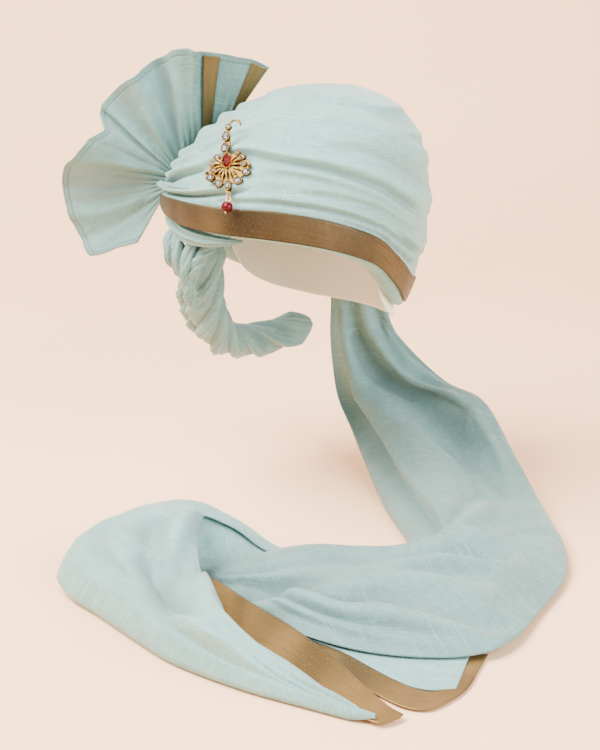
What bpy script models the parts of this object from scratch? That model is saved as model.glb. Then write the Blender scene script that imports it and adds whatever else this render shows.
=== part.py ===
"""A tied turban: wound crown with a gold border, pleated side fan, twisted roll, jewelled brooch and a tail
that falls from the nape and lies on the floor.

Metres, +Z up. The origin is the inside top of the crown, where the head presses. The wearer faces -Y.
"""

import functools
import math

import bmesh
import bpy
import numpy as np
from mathutils import Matrix, Vector

# Head hollow and wound cloth
HEAD_WIDTH = 0.162
HEAD_DEPTH = 0.202
HEAD_DOME = 0.090
WRAP_LEFT = 0.0435
WRAP_RIGHT = 0.0315
WRAP_FRONT = 0.0225
WRAP_TOP = 0.035
TOP_LEAN = 0.020
WIDEST_DROP = 0.066
RIM_DROP = 0.160
RIM_LIP = 0.004
RIM_TUCK_LENGTH = 0.080
FOLD_LIFT = 0.0035
CROWN_COLUMNS = 54

# Cloth walls and clearances
GAP = 0.0004
LINING_WALL = 0.002
BORDER_WALL = 0.0012
BORDER_CLEAR = 0.0009
FAN_WALL = 0.002
TAIL_WALL = 0.002

# Border and lining at the rim
BORDER_WIDTH = 0.024
BORDER_START = 0.235
LINING_SHOWS = 0.019
LINING_HIDDEN = 0.028
LINING_START = 0.65
LINING_END = 1.14

# Folds and rolls below the border
UNDER_WRAP_HEIGHT = 0.0175
UNDER_WRAP_DEPTH = 0.021
SIDE_ROLL_RADIUS = 0.0092
SIDE_ROLL_LENGTH = 0.046
STRAND_RADIUS = 0.0095
KNOT_ROLL_RADIUS = 0.0042
KNOT_ROLL_REACH = 46.0
KNOT_ROLL_PRESS = 0.8
TWIST_RADIUS = 0.0182
TWIST_DROP = 0.128
TWIST_PITCH = 0.066
STRAND_PRESS = 0.93
STRAND_SIDE = Vector((-0.66, 0.75, 0.0))

# Fan
FAN_REACH = 0.130
FAN_CLEAR = 0.0016
PLEAT_DEPTH = 0.030

# Tail
FLOOR_DROP = 0.343
TAIL_SPREAD = 0.220
TAIL_REACH = 0.450
TAIL_PUFF = 0.030
TAIL_PLEAT = 0.020
LOBE_PUFF = 0.014

# Brooch
BROOCH_AZIMUTH = -33.5
BROOCH_TURN = 14.0
BROOCH_FACING = 0.25
BROOCH_FRONT = (0.0, -0.956, 0.292)
BROOCH_ABOVE_RIM = 0.0555
BROOCH_STANDOFF = 0.0025
BROOCH_WIDTH = 0.040
BROOCH_HEIGHT = 0.0565
BACK_PLATE = 0.0014
COLLET_RISE = 0.0012
COLLET_WALL = 0.0006
STONE_CLEAR = 0.0003
STONE_DEPTH = 0.0016
LINK_WIRE = 0.0005
LINK_RADIUS = 0.0019
LINK_CLEAR = 0.0003
BEAD_RADIUS = 0.0049
BEAD_BORE = 0.0007
PIN_CLEAR = 0.0003

HALF_PI = math.pi / 2

# Rim, by azimuth in degrees from the front towards the right ear. drop is a share of RIM_DROP, border of
# BORDER_WIDTH. tuck is how far the wall draws in below its widest level, as a share of its radius. full is the
# exponent of the dome's profile. step is the share of FOLD_LIFT that the folds keep there.
RIM = {
    "azimuth": (-180, -140, -112, -90, -66, -50, -33, -13, 0, 11, 23, 35, 47, 66, 90, 135),
    "drop": (0.99, 0.86, 0.56, 0.43, 0.454, 0.467, 0.472, 0.481, 0.502, 0.531, 0.58, 0.65, 0.766, 0.92, 0.985, 1.01),
    "border": (1.0, 0.9, 0.45, 0.30, 0.72, 0.86, 0.92, 1.0, 1.0, 1.0, 1.0, 1.0, 1.0, 1.0, 1.0, 1.0),
    "tuck": (0.07, 0.07, 0.08, 0.10, 0.10, 0.10, 0.10, 0.10, 0.10, 0.10, 0.11, 0.12, 0.13, 0.14, 0.145, 0.10),
    "full": (2.1, 2.0, 1.85, 1.8, 1.85, 1.95, 2.1, 2.1, 2.1, 2.1, 2.1, 2.1, 2.1, 2.15, 2.2, 2.1),
    "step": (0.7, 0.3, 0.0, 0.0, 0.3, 0.6, 0.6, 0.5, 0.5, 0.6, 0.7, 0.8, 0.9, 1.0, 1.0, 0.9),
}

# Rows of the wound dome from its top to the border: share of the way down, and lift as a share of FOLD_LIFT.
CROWN_ROWS = {
    "down": (0.10, 0.21, 0.31, 0.335, 0.44, 0.54, 0.565, 0.65, 0.73, 0.752, 0.82, 0.885, 0.905, 1.0),
    "lift": (0.1, 0.2, 0.7, -0.4, 0.3, 1.0, -0.5, 0.3, 1.0, -0.6, 0.4, 0.9, -0.6, 0.0),
}
UNDER_WRAP_ROUTE = (-106, -96, -86, -75, -62, -49, -37, -26)
UNDER_WRAP_INSET = 0.30
KNOT_AZIMUTH = -95.0
KNOT_SPREAD = 45.0
KNOT_DRAW = 0.70
BORDER_ROWS = (0.5, 0.0)
HOLLOW_ROWS = (0.18, 0.36, 0.54, 0.72, 0.88)
HOLLOW_STEP = 0.006

# Fan ribs, from the lower edge round to the top: angle in degrees and reach as a share of FAN_REACH, both from
# the knot; depth is a share of PLEAT_DEPTH, forward negative; root is the place on the crown, 0 low and 1 high.
FAN_RIBS = {
    "angle": (242, 231, 223, 213, 203, 193, 182, 171, 160, 147, 136, 132, 122, 113, 105, 98, 91.5, 85,
              79.5, 76.2, 74.5, 66.0, 60.5, 55.0, 47.5),
    "reach": (0.45, 0.58, 0.77, 0.755, 0.75, 0.75, 0.745, 0.715, 0.65, 0.60, 0.56, 0.68, 0.715, 0.745, 0.775, 0.82,
              0.855, 0.92, 0.94, 0.935, 0.93, 0.965, 0.985, 1.025, 1.055),
    "depth": (-0.55, -0.30, 0.05, 0.35, 0.45, 0.30, 0.05, -0.25, -0.55, -0.70, -0.35, 0.40, 0.25, -0.10, -0.30,
              0.05, 0.35, 0.05, -0.30, -0.45, 0.20, 0.25, 0.35, 0.45, 0.55),
    "root": (0.0, 0.02, 0.04, 0.06, 0.08, 0.10, 0.12, 0.14, 0.16, 0.18, 0.20, 0.22, 0.25, 0.28, 0.31, 0.35,
             0.39, 0.44, 0.50, 0.55, 0.60, 0.71, 0.79, 0.88, 1.0),
}
FAN_ROWS = 8
FRONT_STRIPE_RIBS = (20, 21)
BACK_STRIPE_RIBS = (23, 24)
FAN_ROOT_LOW = {"azimuth": -99.0, "down": 1.0}
FAN_ROOT_HIGH = {"azimuth": -128.0, "down": 0.42}
STRIPE_START = 0.05
STRIPE_END = 0.93
STRIPE_INSET = 0.10

# Tail, a row for each section from the nape down and across the floor to the left. x is a share of TAIL_SPREAD,
# y of TAIL_REACH, up of FLOOR_DROP; puff is a share of TAIL_PUFF and pleat of TAIL_PLEAT.
TAIL_ROWS = {
    "inner_x": (0.12, 0.13, 0.13, 0.16, 0.22, 0.27, 0.34, 0.42, 0.47, 0.39, 0.25, 0.09, -0.05, -0.18, -0.29, -0.40),
    "inner_y": (0.262, 0.278, 0.280, 0.254, 0.189, 0.089, -0.109, -0.300, -0.385, -0.415, -0.430, -0.422, -0.4055,
                -0.415, -0.428, -0.440),
    "inner_up": (0.50, 0.446, 0.315, 0.172, 0.093, 0.044, 0.006, 0.006, 0.006, 0.006, 0.006, 0.006, 0.006, 0.006,
                 0.006, 0.006),
    "outer_x": (0.38, 0.38, 0.436, 0.632, 0.795, 0.897, 0.977, 1.01, 0.96, 0.84, 0.71, 0.58, 0.37, 0.16, -0.05, -0.22),
    "outer_y": (0.222, 0.242, 0.256, 0.196, 0.116, 0.0, -0.144, -0.350, -0.478, -0.600, -0.722, -0.770, -0.775,
                -0.745, -0.675, -0.590),
    "outer_up": (0.50, 0.434, 0.344, 0.236, 0.204, 0.108, 0.032, 0.020, 0.014, 0.012, 0.020, 0.022, 0.022, 0.020,
                 0.018, 0.010),
    "puff": (0.0, 0.0, 0.0, 0.0, 0.1, 0.3, 0.6, 0.7, 0.85, 1.0, 1.0, 1.0, 0.95, 0.75, 0.45, 0.15),
    "pleat": (0.25, 0.35, 0.6, 0.85, 1.0, 0.95, 0.6, 0.3, 0.25, 0.3, 0.3, 0.3, 0.28, 0.2, 0.1, 0.0),
    "waves": (2.5, 2.5, 2.2, 2.0, 1.8, 1.6, 1.6, 1.6, 1.8, 2.0, 2.0, 2.0, 2.0, 2.0, 2.0, 2.0),
}
TAIL_COLUMNS = 12
TAIL_STATIONS = 42

# Turned end of the tail, a row for each section round its outer fold. fold is where the cloth turns over on the
# floor, edge the free edge of the upper layer; shares as in TAIL_ROWS. bulge is a share of LOBE_PUFF and under
# the width of the lower layer as a share of the way to the edge.
TURN_ROWS = {
    "fold_x": (0.02, -0.10, -0.22, -0.36, -0.53, -0.71, -0.86, -0.91, -0.86, -0.74, -0.60, -0.44, -0.21, 0.0,
               0.135, 0.22),
    "fold_y": (-0.365, -0.335, -0.295, -0.265, -0.270, -0.315, -0.390, -0.465, -0.535, -0.605, -0.692, -0.783,
               -0.868, -0.925, -0.960, -0.985),
    "edge_x": (-0.03, -0.16, -0.255, -0.360, -0.372, -0.375, -0.372, -0.36, -0.345, -0.32, -0.28, -0.222, -0.06,
               0.055, 0.14, 0.222),
    "edge_y": (-0.405, -0.392, -0.390, -0.397, -0.425, -0.465, -0.515, -0.565, -0.61, -0.66, -0.71, -0.762, -0.822,
               -0.885, -0.935, -0.966),
    "edge_up": (0.0125, 0.050, 0.098, 0.134, 0.132, 0.128, 0.122, 0.117, 0.110, 0.102, 0.090, 0.073, 0.042, 0.026,
                0.020, 0.018),
    "bulge": (0.0, 0.05, 0.15, 0.35, 0.75, 1.0, 1.0, 0.9, 0.8, 0.75, 0.65, 0.55, 0.35, 0.2, 0.1, 0.05),
    "under": (0.3, 0.3, 0.3, 0.3, 0.35, 0.35, 0.35, 0.35, 0.35, 0.35, 0.35, 0.3, 0.3, 0.3, 0.3, 0.3),
}
TURN_STATIONS = 36
TURN_COLUMNS = 10
TURN_FOLD_RISE = 0.018

# Gold border of the turned end: upper and lower edge, from inside the fold to the tip.
FRONT_BAND = {
    "upper_x": (-0.43, -0.32, -0.19, -0.06, 0.045, 0.125, 0.19, 0.26, 0.31),
    "upper_y": (-0.500, -0.545, -0.622, -0.692, -0.760, -0.818, -0.876, -0.932, -0.955),
    "upper_up": (0.050, 0.058, 0.050, 0.042, 0.034, 0.028, 0.022, 0.015, 0.010),
    "lower_x": (-0.39, -0.29, -0.215, -0.12, -0.03, 0.045, 0.12, 0.20, 0.27),
    "lower_y": (-0.590, -0.690, -0.752, -0.795, -0.840, -0.885, -0.928, -0.970, -0.990),
    "lower_up": (0.045, 0.045, 0.040, 0.030, 0.020, 0.013, 0.010, 0.008, 0.007),
}

# Flat layer between the two gold borders, and the inner border round its edge.
PANEL = {
    "back_x": (-0.24, -0.10, 0.06, 0.20, 0.33, 0.44, 0.52),
    "back_y": (-0.520, -0.600, -0.660, -0.690, -0.705, -0.715, -0.730),
    "front_x": (-0.31, -0.175, -0.02, 0.13, 0.26, 0.365, 0.435),
    "front_y": (-0.5288, -0.6088, -0.6788, -0.7388, -0.8118, -0.858, -0.8585),
}
INNER_BAND = {
    "inner_x": (-0.31, -0.175, -0.02, 0.13, 0.26, 0.35, 0.405, 0.445, 0.470, 0.500, 0.53),
    "inner_y": (-0.533, -0.613, -0.683, -0.743, -0.816, -0.862, -0.876, -0.866, -0.840, -0.790, -0.745),
    "outer_x": (-0.34, -0.215, -0.06, 0.085, 0.205, 0.31, 0.395, 0.470, 0.530, 0.580, 0.62),
    "outer_y": (-0.585, -0.668, -0.740, -0.803, -0.868, -0.922, -0.932, -0.902, -0.862, -0.800, -0.750),
}
FLAT_UP = 0.0032
PANEL_BACK_UP = 0.0085
INNER_BAND_UP = 0.0032

# Clear stones of the brooch: middle (x, y) and half sizes, as shares of BROOCH_WIDTH across and BROOCH_HEIGHT up.
CLEAR_STONES = (
    {"x": 0.00, "y": 0.62, "half_x": 0.048, "half_y": 0.031},
    {"x": -0.05, "y": 0.475, "half_x": 0.068, "half_y": 0.062},
    {"x": -0.07, "y": 0.29, "half_x": 0.072, "half_y": 0.072},
    {"x": 0.205, "y": 0.185, "half_x": 0.048, "half_y": 0.031},
    {"x": -0.255, "y": 0.165, "half_x": 0.052, "half_y": 0.034},
    {"x": -0.350, "y": 0.070, "half_x": 0.050, "half_y": 0.033},
    {"x": -0.330, "y": -0.033, "half_x": 0.050, "half_y": 0.033},
    {"x": 0.335, "y": 0.110, "half_x": 0.050, "half_y": 0.033},
    {"x": 0.355, "y": -0.008, "half_x": 0.050, "half_y": 0.033},
    {"x": -0.400, "y": -0.135, "half_x": 0.080, "half_y": 0.044},
    {"x": -0.215, "y": -0.250, "half_x": 0.080, "half_y": 0.046},
    {"x": 0.00, "y": -0.300, "half_x": 0.058, "half_y": 0.066},
    {"x": 0.225, "y": -0.250, "half_x": 0.080, "half_y": 0.046},
    {"x": 0.405, "y": -0.135, "half_x": 0.080, "half_y": 0.044},
)
RUBY = {"x": -0.02, "y": 0.075, "half_x": 0.118, "half_y": 0.108}
STONE_SIDES = 8

COLOURS = {
    "mint": ((0.47, 0.62, 0.57), 0.55, 0.0),
    "gold_weave": ((0.38, 0.26, 0.10), 0.45, 0.35),
    "lining_cotton": ((0.72, 0.72, 0.64), 0.8, 0.0),
    "brooch_gold": ((0.80, 0.53, 0.20), 0.25, 1.0),
    "crystal": ((0.90, 0.92, 0.94), 0.03, 0.0),
    "ruby": ((0.42, 0.005, 0.02), 0.04, 0.0),
    "red_bead": ((0.36, 0.006, 0.015), 0.12, 0.0),
}


def clear_scene():
    for scene_object in list(bpy.data.objects):
        bpy.data.objects.remove(scene_object, do_unlink=True)


def collection(name):
    made = bpy.data.collections.new(name)
    bpy.context.scene.collection.children.link(made)
    return made


def material(name):
    colour, roughness, metallic = COLOURS[name]
    made = bpy.data.materials.new(name)
    made.use_nodes = True
    shader = made.node_tree.nodes["Principled BSDF"]
    shader.inputs["Base Color"].default_value = (*colour, 1.0)
    shader.inputs["Roughness"].default_value = roughness
    shader.inputs["Metallic"].default_value = metallic
    return made


def course(places, values, place, turn=None):
    """Cubic through a table's rows, read at one place between them. A turn closes it into a ring."""
    places = list(places)
    values = list(values)
    if turn:
        place = (place - places[0]) % turn + places[0]
        places = [places[-1] - turn, *places, places[0] + turn, places[1] + turn]
        values = [values[-1], *values, values[0], values[1]]
    place = min(max(place, places[0]), places[-1])
    row = max(0, min(int(np.searchsorted(places, place, side="right")) - 1, len(places) - 2))
    before = max(row - 1, 0)
    after = min(row + 2, len(places) - 1)
    span = places[row + 1] - places[row]
    start_slope = (values[row + 1] - values[before]) / (places[row + 1] - places[before])
    end_slope = (values[after] - values[row]) / (places[after] - places[row])
    share = (place - places[row]) / span
    square = share * share
    cube = square * share
    return (
        (2 * cube - 3 * square + 1) * values[row]
        + (cube - 2 * square + share) * span * start_slope
        + (3 * square - 2 * cube) * values[row + 1]
        + (cube - square) * span * end_slope
    )


def along(table, key, share):
    """A table column read at a share, 0 to 1, of the way along its rows."""
    values = table[key]
    return course(range(len(values)), values, share * (len(values) - 1))


def rim(key, azimuth):
    return course(RIM["azimuth"], RIM[key], azimuth, turn=360)


def finish(name, mesh, group, look):
    mesh.shade_smooth()
    mesh.set_sharp_from_angle(angle=math.radians(40))
    mesh.materials.append(look)
    made = bpy.data.objects.new(name, mesh)
    group.objects.link(made)
    return made


def mesh_from(name, bm):
    """Mesh of a closed bmesh, its faces turned outwards."""
    bmesh.ops.recalc_face_normals(bm, faces=bm.faces)
    if bm.calc_volume(signed=True) < 0:
        bmesh.ops.reverse_faces(bm, faces=bm.faces)
    mesh = bpy.data.meshes.new(name)
    bm.to_mesh(mesh)
    bm.free()
    return mesh


def ball_mesh(name, columns, rows, place):
    """A closed form from a ball: place(column, row) gives each point, rows 0 and the last being its poles."""
    bm = bmesh.new()
    bmesh.ops.create_uvsphere(bm, u_segments=columns, v_segments=rows, radius=1)
    for vertex in bm.verts:
        turn = math.atan2(vertex.co.x, vertex.co.y) % math.tau
        down = math.acos(max(-1.0, min(1.0, vertex.co.z)))
        column = round(turn / math.tau * columns) % columns
        row = round(down / math.pi * rows)
        vertex.co = place(column, row)
    return mesh_from(name, bm)


def sheet(name, columns, rows, place, wall, group, look, side=0.0):
    """A sheet of cloth: place(across, down), shares 0 to 1, gives each point. Its wall is a Solidify."""
    bm = bmesh.new()
    bmesh.ops.create_grid(bm, x_segments=columns, y_segments=rows, size=1)
    for vertex in bm.verts:
        vertex.co = place((vertex.co.x + 1) / 2, (vertex.co.y + 1) / 2)
    mesh = bpy.data.meshes.new(name)
    bm.to_mesh(mesh)
    bm.free()
    made = finish(name, mesh, group, look)
    solid = made.modifiers.new("wall", "SOLIDIFY")
    solid.thickness = wall
    solid.offset = side
    solid.use_even_offset = True
    solid.use_quality_normals = True
    return made


def frames(route, count):
    """Points and turning frames along a smooth route through a few chosen points."""
    shares = [index / (len(route) - 1) for index in range(len(route))]
    points = []
    for index in range(count + 1):
        share = index / count
        points.append(Vector([course(shares, [point[axis] for point in route], share) for axis in range(3)]))
    tangents = []
    for index in range(count + 1):
        ahead = points[min(index + 1, count)]
        behind = points[max(index - 1, 0)]
        tangents.append((ahead - behind).normalized())
    side = tangents[0].cross(Vector((0, 1, 0))).normalized()
    sides = []
    for tangent in tangents:
        side = (side - tangent * side.dot(tangent)).normalized()
        sides.append(side.copy())
    return points, tangents, sides


def roll(name, route, radius, columns, stations, group, look, ridges=3, ridge=0.2, turns=0.0, flat=1.0):
    """A rolled or twisted length of cloth with rounded ends. radius is a function of the share along it."""
    points, tangents, sides = frames(route, stations)
    lengths = np.cumsum([0.0] + [(points[i + 1] - points[i]).length for i in range(stations)])

    def place(column, row):
        row = max(0, min(row, stations))
        if row in (0, stations):
            return points[row]
        share = lengths[row] / lengths[-1]
        turn = math.tau * column / columns
        reach = radius(share) * (1 - ridge * (0.5 - 0.5 * math.cos(ridges * (turn - turns * math.tau * share))))
        up = tangents[row].cross(sides[row])
        return points[row] + sides[row] * math.cos(turn) * reach + up * math.sin(turn) * reach * flat

    return finish(name, ball_mesh(name, columns, stations, place), group, look)


# Crown

CROWN_SIDES = (HEAD_WIDTH / 2 + WRAP_LEFT, HEAD_WIDTH / 2 + WRAP_RIGHT)
CROWN_FRONT = HEAD_DEPTH / 2 + WRAP_FRONT + LINING_WALL
HOLLOW_SIDE = HEAD_WIDTH / 2 + LINING_WALL + 2 * GAP
HOLLOW_FRONT = HEAD_DEPTH / 2 + LINING_WALL + 2 * GAP


def crown_at(azimuth, down):
    """Point of the smooth crown. down runs from 0 at the top over 1 at the widest level and on to the rim."""
    turn = math.radians(azimuth)
    fullness = rim("full", azimuth)
    if down <= 1:
        height = math.cos(down * HALF_PI) ** (2 / fullness) if down < 1 else 0.0
        radius = math.sin(down * HALF_PI) ** (2 / fullness)
        level = height * (WRAP_TOP + WIDEST_DROP) - WIDEST_DROP
    else:
        height = 0.0
        below = (down - 1) * RIM_TUCK_LENGTH
        radius = 1 - rim("tuck", azimuth) * (below / RIM_TUCK_LENGTH) ** 2
        level = -WIDEST_DROP - below
    half = CROWN_SIDES[0] if math.sin(turn) < 0 else CROWN_SIDES[1]
    lean = TOP_LEAN * height * height
    return Vector((half * math.sin(turn) * radius + lean, -CROWN_FRONT * math.cos(turn) * radius, level))


@functools.lru_cache(maxsize=None)
def crown_profile(azimuth):
    """Lengths down the crown's surface and the matching places, from the top to the rim."""
    last = 1 + max(0.0, rim("drop", azimuth) * RIM_DROP - WIDEST_DROP) / RIM_TUCK_LENGTH
    places = [last * index / 80 for index in range(81)]
    points = [crown_at(azimuth, place) for place in places]
    lengths = [0.0]
    for first, second in zip(points, points[1:]):
        lengths.append(lengths[-1] + (second - first).length)
    return lengths, places


def crown_surface(azimuth, above_rim, lift=0.0):
    """Point on the crown at a length above its rim, moved out by lift, and the outward direction there."""
    lengths, places = crown_profile(azimuth)
    down = float(np.interp(lengths[-1] - above_rim, lengths, places))
    point = crown_at(azimuth, down)
    step = 0.01
    ahead = crown_at(azimuth + 1, down) - crown_at(azimuth - 1, down)
    below = crown_at(azimuth, down + step) - crown_at(azimuth, max(down - step, 0.0))
    outward = ahead.cross(below).normalized()
    if outward.dot(Vector((math.sin(math.radians(azimuth)), -math.cos(math.radians(azimuth)), 0.3))) < 0:
        outward = -outward
    return point + outward * lift, outward


def border_height(azimuth):
    return BORDER_WIDTH * rim("border", azimuth)


def crown_length(azimuth):
    return crown_profile(azimuth)[0][-1]


def dome_height(azimuth, down):
    """Length above the rim of a place on the dome, as a share of the way from the top down to the border."""
    top = crown_length(azimuth)
    border = border_height(azimuth)
    away = (azimuth - KNOT_AZIMUTH + 180) % 360 - 180
    draw = KNOT_DRAW * math.exp(-((away / KNOT_SPREAD) ** 2))
    drawn = 1 - (1 - down) * (1 - draw * down)
    return border + (top - border) * (1 - drawn)


def hollow_base(azimuth):
    """Level where the hollow's dome starts above the rim."""
    return max(-HEAD_DOME, HOLLOW_STEP - rim("drop", azimuth) * RIM_DROP)


def hollow_at(azimuth, level):
    """Point of the head's hollow at a level: upright below the dome, drawn in above."""
    turn = math.radians(azimuth)
    height = max(0.0, 1 + level / HEAD_DOME)
    radius = max(0.0, 1 - height ** 2.2) ** 0.46
    return Vector((HOLLOW_SIDE * math.sin(turn) * radius, -HOLLOW_FRONT * math.cos(turn) * radius, level))


def hollow_point(azimuth, up):
    """Point of the hollow between its dome's base and its top, up being a share of the way."""
    base = hollow_base(azimuth)
    start = math.asin(max(0.0, 1 + base / HEAD_DOME))
    angle = start + (HALF_PI - start) * up
    return hollow_at(azimuth, -HEAD_DOME * (1 - math.sin(angle)))


def hollow_rim(azimuth):
    return hollow_at(azimuth, -rim("drop", azimuth) * RIM_DROP)


def column_azimuth(column):
    return 360 * column / CROWN_COLUMNS - 180


def build_crown(group, look):
    rows = []
    for down, lift in zip(CROWN_ROWS["down"], CROWN_ROWS["lift"]):
        rows.append(("dome", down, lift * FOLD_LIFT))
    for up in BORDER_ROWS:
        rows.append(("border", up, 0.0))
    rows.append(("lip", 0.0, 0.0))
    rows.append(("inner rim", 0.0, 0.0))
    for up in (0.0, *HOLLOW_ROWS):
        rows.append(("hollow", up, 0.0))

    def place(column, row):
        if row == 0:
            return Vector((TOP_LEAN, 0, WRAP_TOP))
        if row == len(rows) + 1:
            return Vector((0, 0, 0))
        azimuth = column_azimuth(column)
        kind, share, lift = rows[row - 1]
        if kind == "dome":
            return crown_surface(azimuth, dome_height(azimuth, share), lift * rim("step", azimuth))[0]
        if kind == "border":
            return crown_surface(azimuth, border_height(azimuth) * share)[0]
        if kind == "lip":
            middle = crown_surface(azimuth, 0.0)[0].lerp(hollow_rim(azimuth), 0.5)
            return middle - Vector((0, 0, RIM_LIP))
        if kind == "inner rim":
            return hollow_rim(azimuth)
        return hollow_point(azimuth, share)

    finish("crown_wrap", ball_mesh("crown_wrap", CROWN_COLUMNS, len(rows) + 1, place), group, look)


def build_front_border(group, look):
    first = round(CROWN_COLUMNS * BORDER_START)
    last = first + CROWN_COLUMNS - 3

    def place(across, down):
        azimuth = column_azimuth(first + round(across * (last - first)))
        rise = border_height(azimuth) * (1 - down)
        return crown_surface(azimuth, rise, BORDER_CLEAR + BORDER_WALL / 2)[0]

    sheet("front_border", last - first, 2, place, BORDER_WALL, group, look)


def build_lining(group, look):
    first = round(CROWN_COLUMNS * LINING_START)
    last = round(CROWN_COLUMNS * LINING_END)
    shrink_side = 1 - (GAP + LINING_WALL / 2) / HOLLOW_SIDE
    shrink_front = 1 - (GAP + LINING_WALL / 2) / HOLLOW_FRONT

    def place(across, down):
        column = first + round(across * (last - first))
        azimuth = column_azimuth(column)
        turn = math.radians(azimuth)
        drop = rim("drop", azimuth) * RIM_DROP
        ends = math.sin(math.pi * across) ** 0.35
        level = -drop + LINING_HIDDEN - (LINING_HIDDEN + LINING_SHOWS * ends) * down
        point = Vector((HOLLOW_SIDE * shrink_side * math.sin(turn), -HOLLOW_FRONT * shrink_front * math.cos(turn), 0))
        point.z = min(level, -HEAD_DOME - 2 * LINING_WALL)
        return point

    sheet("lining_band", last - first, 3, place, LINING_WALL, group, look)


# Folds and rolls at the left

def rim_underside(azimuth, inward, below):
    """Point under the rim: inward is a share of the way to the hollow, below a length under the lip."""
    outer = crown_surface(azimuth, 0.0)[0]
    return outer.lerp(hollow_rim(azimuth), inward) - Vector((0, 0, RIM_LIP + below))


def build_under_wrap(group, look):
    def radius(share):
        return UNDER_WRAP_HEIGHT / 2 * max(0.04, math.sin(math.pi * share ** 0.6)) ** 0.5

    route = []
    for index, azimuth in enumerate(UNDER_WRAP_ROUTE):
        half = radius(index / (len(UNDER_WRAP_ROUTE) - 1))
        route.append(rim_underside(azimuth, UNDER_WRAP_INSET, 2 * GAP + half))
    roll("under_wrap", route, radius, 12, 22, group, look, ridges=4, ridge=0.14,
         flat=UNDER_WRAP_DEPTH / UNDER_WRAP_HEIGHT)


def build_knot_roll(group, look):
    """The rolled lip of cloth that crosses over the fan's root, just above the border."""
    route = []
    for index in range(5):
        azimuth = KNOT_AZIMUTH - 1 + KNOT_ROLL_REACH * index / 4
        above = border_height(azimuth) + KNOT_ROLL_RADIUS * (1.6 + 0.25 * index)
        route.append(crown_surface(azimuth, above, KNOT_ROLL_PRESS * KNOT_ROLL_RADIUS + GAP)[0])

    def radius(share):
        return KNOT_ROLL_RADIUS * (0.04 + 3.4 * share * (1 - share)) ** 0.5 * (1 - 0.35 * share)

    roll("knot_roll", route, radius, 10, 16, group, look, ridges=2, ridge=0.15, turns=0.4)


def build_side_roll(group, look):
    top = rim_underside(-92, 0.25, UNDER_WRAP_HEIGHT + 0.9 * SIDE_ROLL_RADIUS)
    length = SIDE_ROLL_LENGTH
    route = (
        top + Vector((0.12 * length, 0.06 * length, 0.10 * length)),
        top + Vector((-0.02 * length, -0.22 * length, -0.02 * length)),
        top + Vector((-0.01 * length, -0.36 * length, -0.30 * length)),
        top + Vector((0.128 * length, -0.26 * length, -0.60 * length)),
        top + Vector((0.31 * length, -0.04 * length, -0.80 * length)),
    )

    def radius(share):
        return SIDE_ROLL_RADIUS * (4 * share * (1 - share) + 0.02) ** 0.4

    roll("side_roll", route, radius, 12, 14, group, look, ridges=3, ridge=0.2, turns=0.5)


def twist_route():
    side = HEAD_WIDTH / 2
    depth = HEAD_DEPTH / 2
    drop = TWIST_DROP
    start = -0.475 * RIM_DROP - RIM_LIP - 0.55 * UNDER_WRAP_HEIGHT
    return (
        Vector((-1.02 * side, -0.40 * depth, start)),
        Vector((-1.07 * side, -0.30 * depth, start - 0.24 * drop)),
        Vector((-1.09 * side, -0.14 * depth, start - 0.46 * drop)),
        Vector((-1.05 * side, 0.06 * depth, start - 0.68 * drop)),
        Vector((-0.93 * side, 0.32 * depth, start - 0.88 * drop)),
        Vector((-0.68 * side, 0.66 * depth, start - 0.99 * drop)),
        Vector((-0.30 * side, 0.95 * depth, start - drop)),
        Vector((0.12 * side, 1.08 * depth, start - 0.93 * drop)),
    )


def build_twisted_roll(group, look):
    route = twist_route()

    def radius(share):
        return TWIST_RADIUS * min(1.0, (16 * share * (1 - share) + 0.03)) ** 0.5 * (1 - 0.12 * share)

    length = sum((second - first).length for first, second in zip(route, route[1:]))
    roll("twisted_roll", route, radius, 12, 40, group, look, ridges=3, ridge=0.22, turns=length / TWIST_PITCH / 3)


def build_outer_strand(group, look):
    """The thinner strand that runs down behind the twisted roll's outer side."""
    apart = STRAND_PRESS * (TWIST_RADIUS + STRAND_RADIUS) + GAP
    beside = twist_route()
    route = []
    for index in range(2, 6):
        ahead = (beside[index + 1] - beside[index - 1]).normalized()
        away = (STRAND_SIDE - ahead * STRAND_SIDE.dot(ahead)).normalized()
        route.append(beside[index] + away * apart)

    def radius(share):
        return STRAND_RADIUS * min(1.0, (8 * share * (1 - share) + 0.02)) ** 0.5 * (1 - 0.2 * share)

    roll("outer_strand", route, radius, 10, 14, group, look, ridges=2, ridge=0.2, turns=1.4)


# Fan

def fan_root(share):
    """Where a rib leaves the crown: a place just clear of its left rear, 0 low and 1 high."""
    azimuth = FAN_ROOT_LOW["azimuth"] + (FAN_ROOT_HIGH["azimuth"] - FAN_ROOT_LOW["azimuth"]) * share
    down = FAN_ROOT_LOW["down"] + (FAN_ROOT_HIGH["down"] - FAN_ROOT_LOW["down"]) * share
    top = crown_length(azimuth)
    border = border_height(azimuth)
    return crown_surface(azimuth, border + (top - border) * (1 - down), FAN_CLEAR)[0]


def fan_tip(rib):
    knot = fan_root(0.12)
    angle = math.radians(FAN_RIBS["angle"][rib])
    reach = FAN_REACH * FAN_RIBS["reach"][rib]
    depth = PLEAT_DEPTH * FAN_RIBS["depth"][rib]
    return Vector((knot.x + reach * math.cos(angle), knot.y + depth, knot.z + reach * math.sin(angle)))


def fan_point(rib, out):
    """Point of the fan on a rib, out running from 0 at the root to 1 at the hem."""
    root = fan_root(FAN_RIBS["root"][rib])
    tip = fan_tip(rib)
    point = root.lerp(tip, out)
    flat_y = root.y + (fan_root(0.12).y - root.y) * out
    point.y = flat_y + (tip.y - fan_root(0.12).y) * out ** 1.3
    return point


def build_fan(group, look):
    ribs = len(FAN_RIBS["angle"])

    def place(across, down):
        return fan_point(round(across * (ribs - 1)), down)

    sheet("fan", ribs - 1, FAN_ROWS, place, FAN_WALL, group, look)


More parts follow.
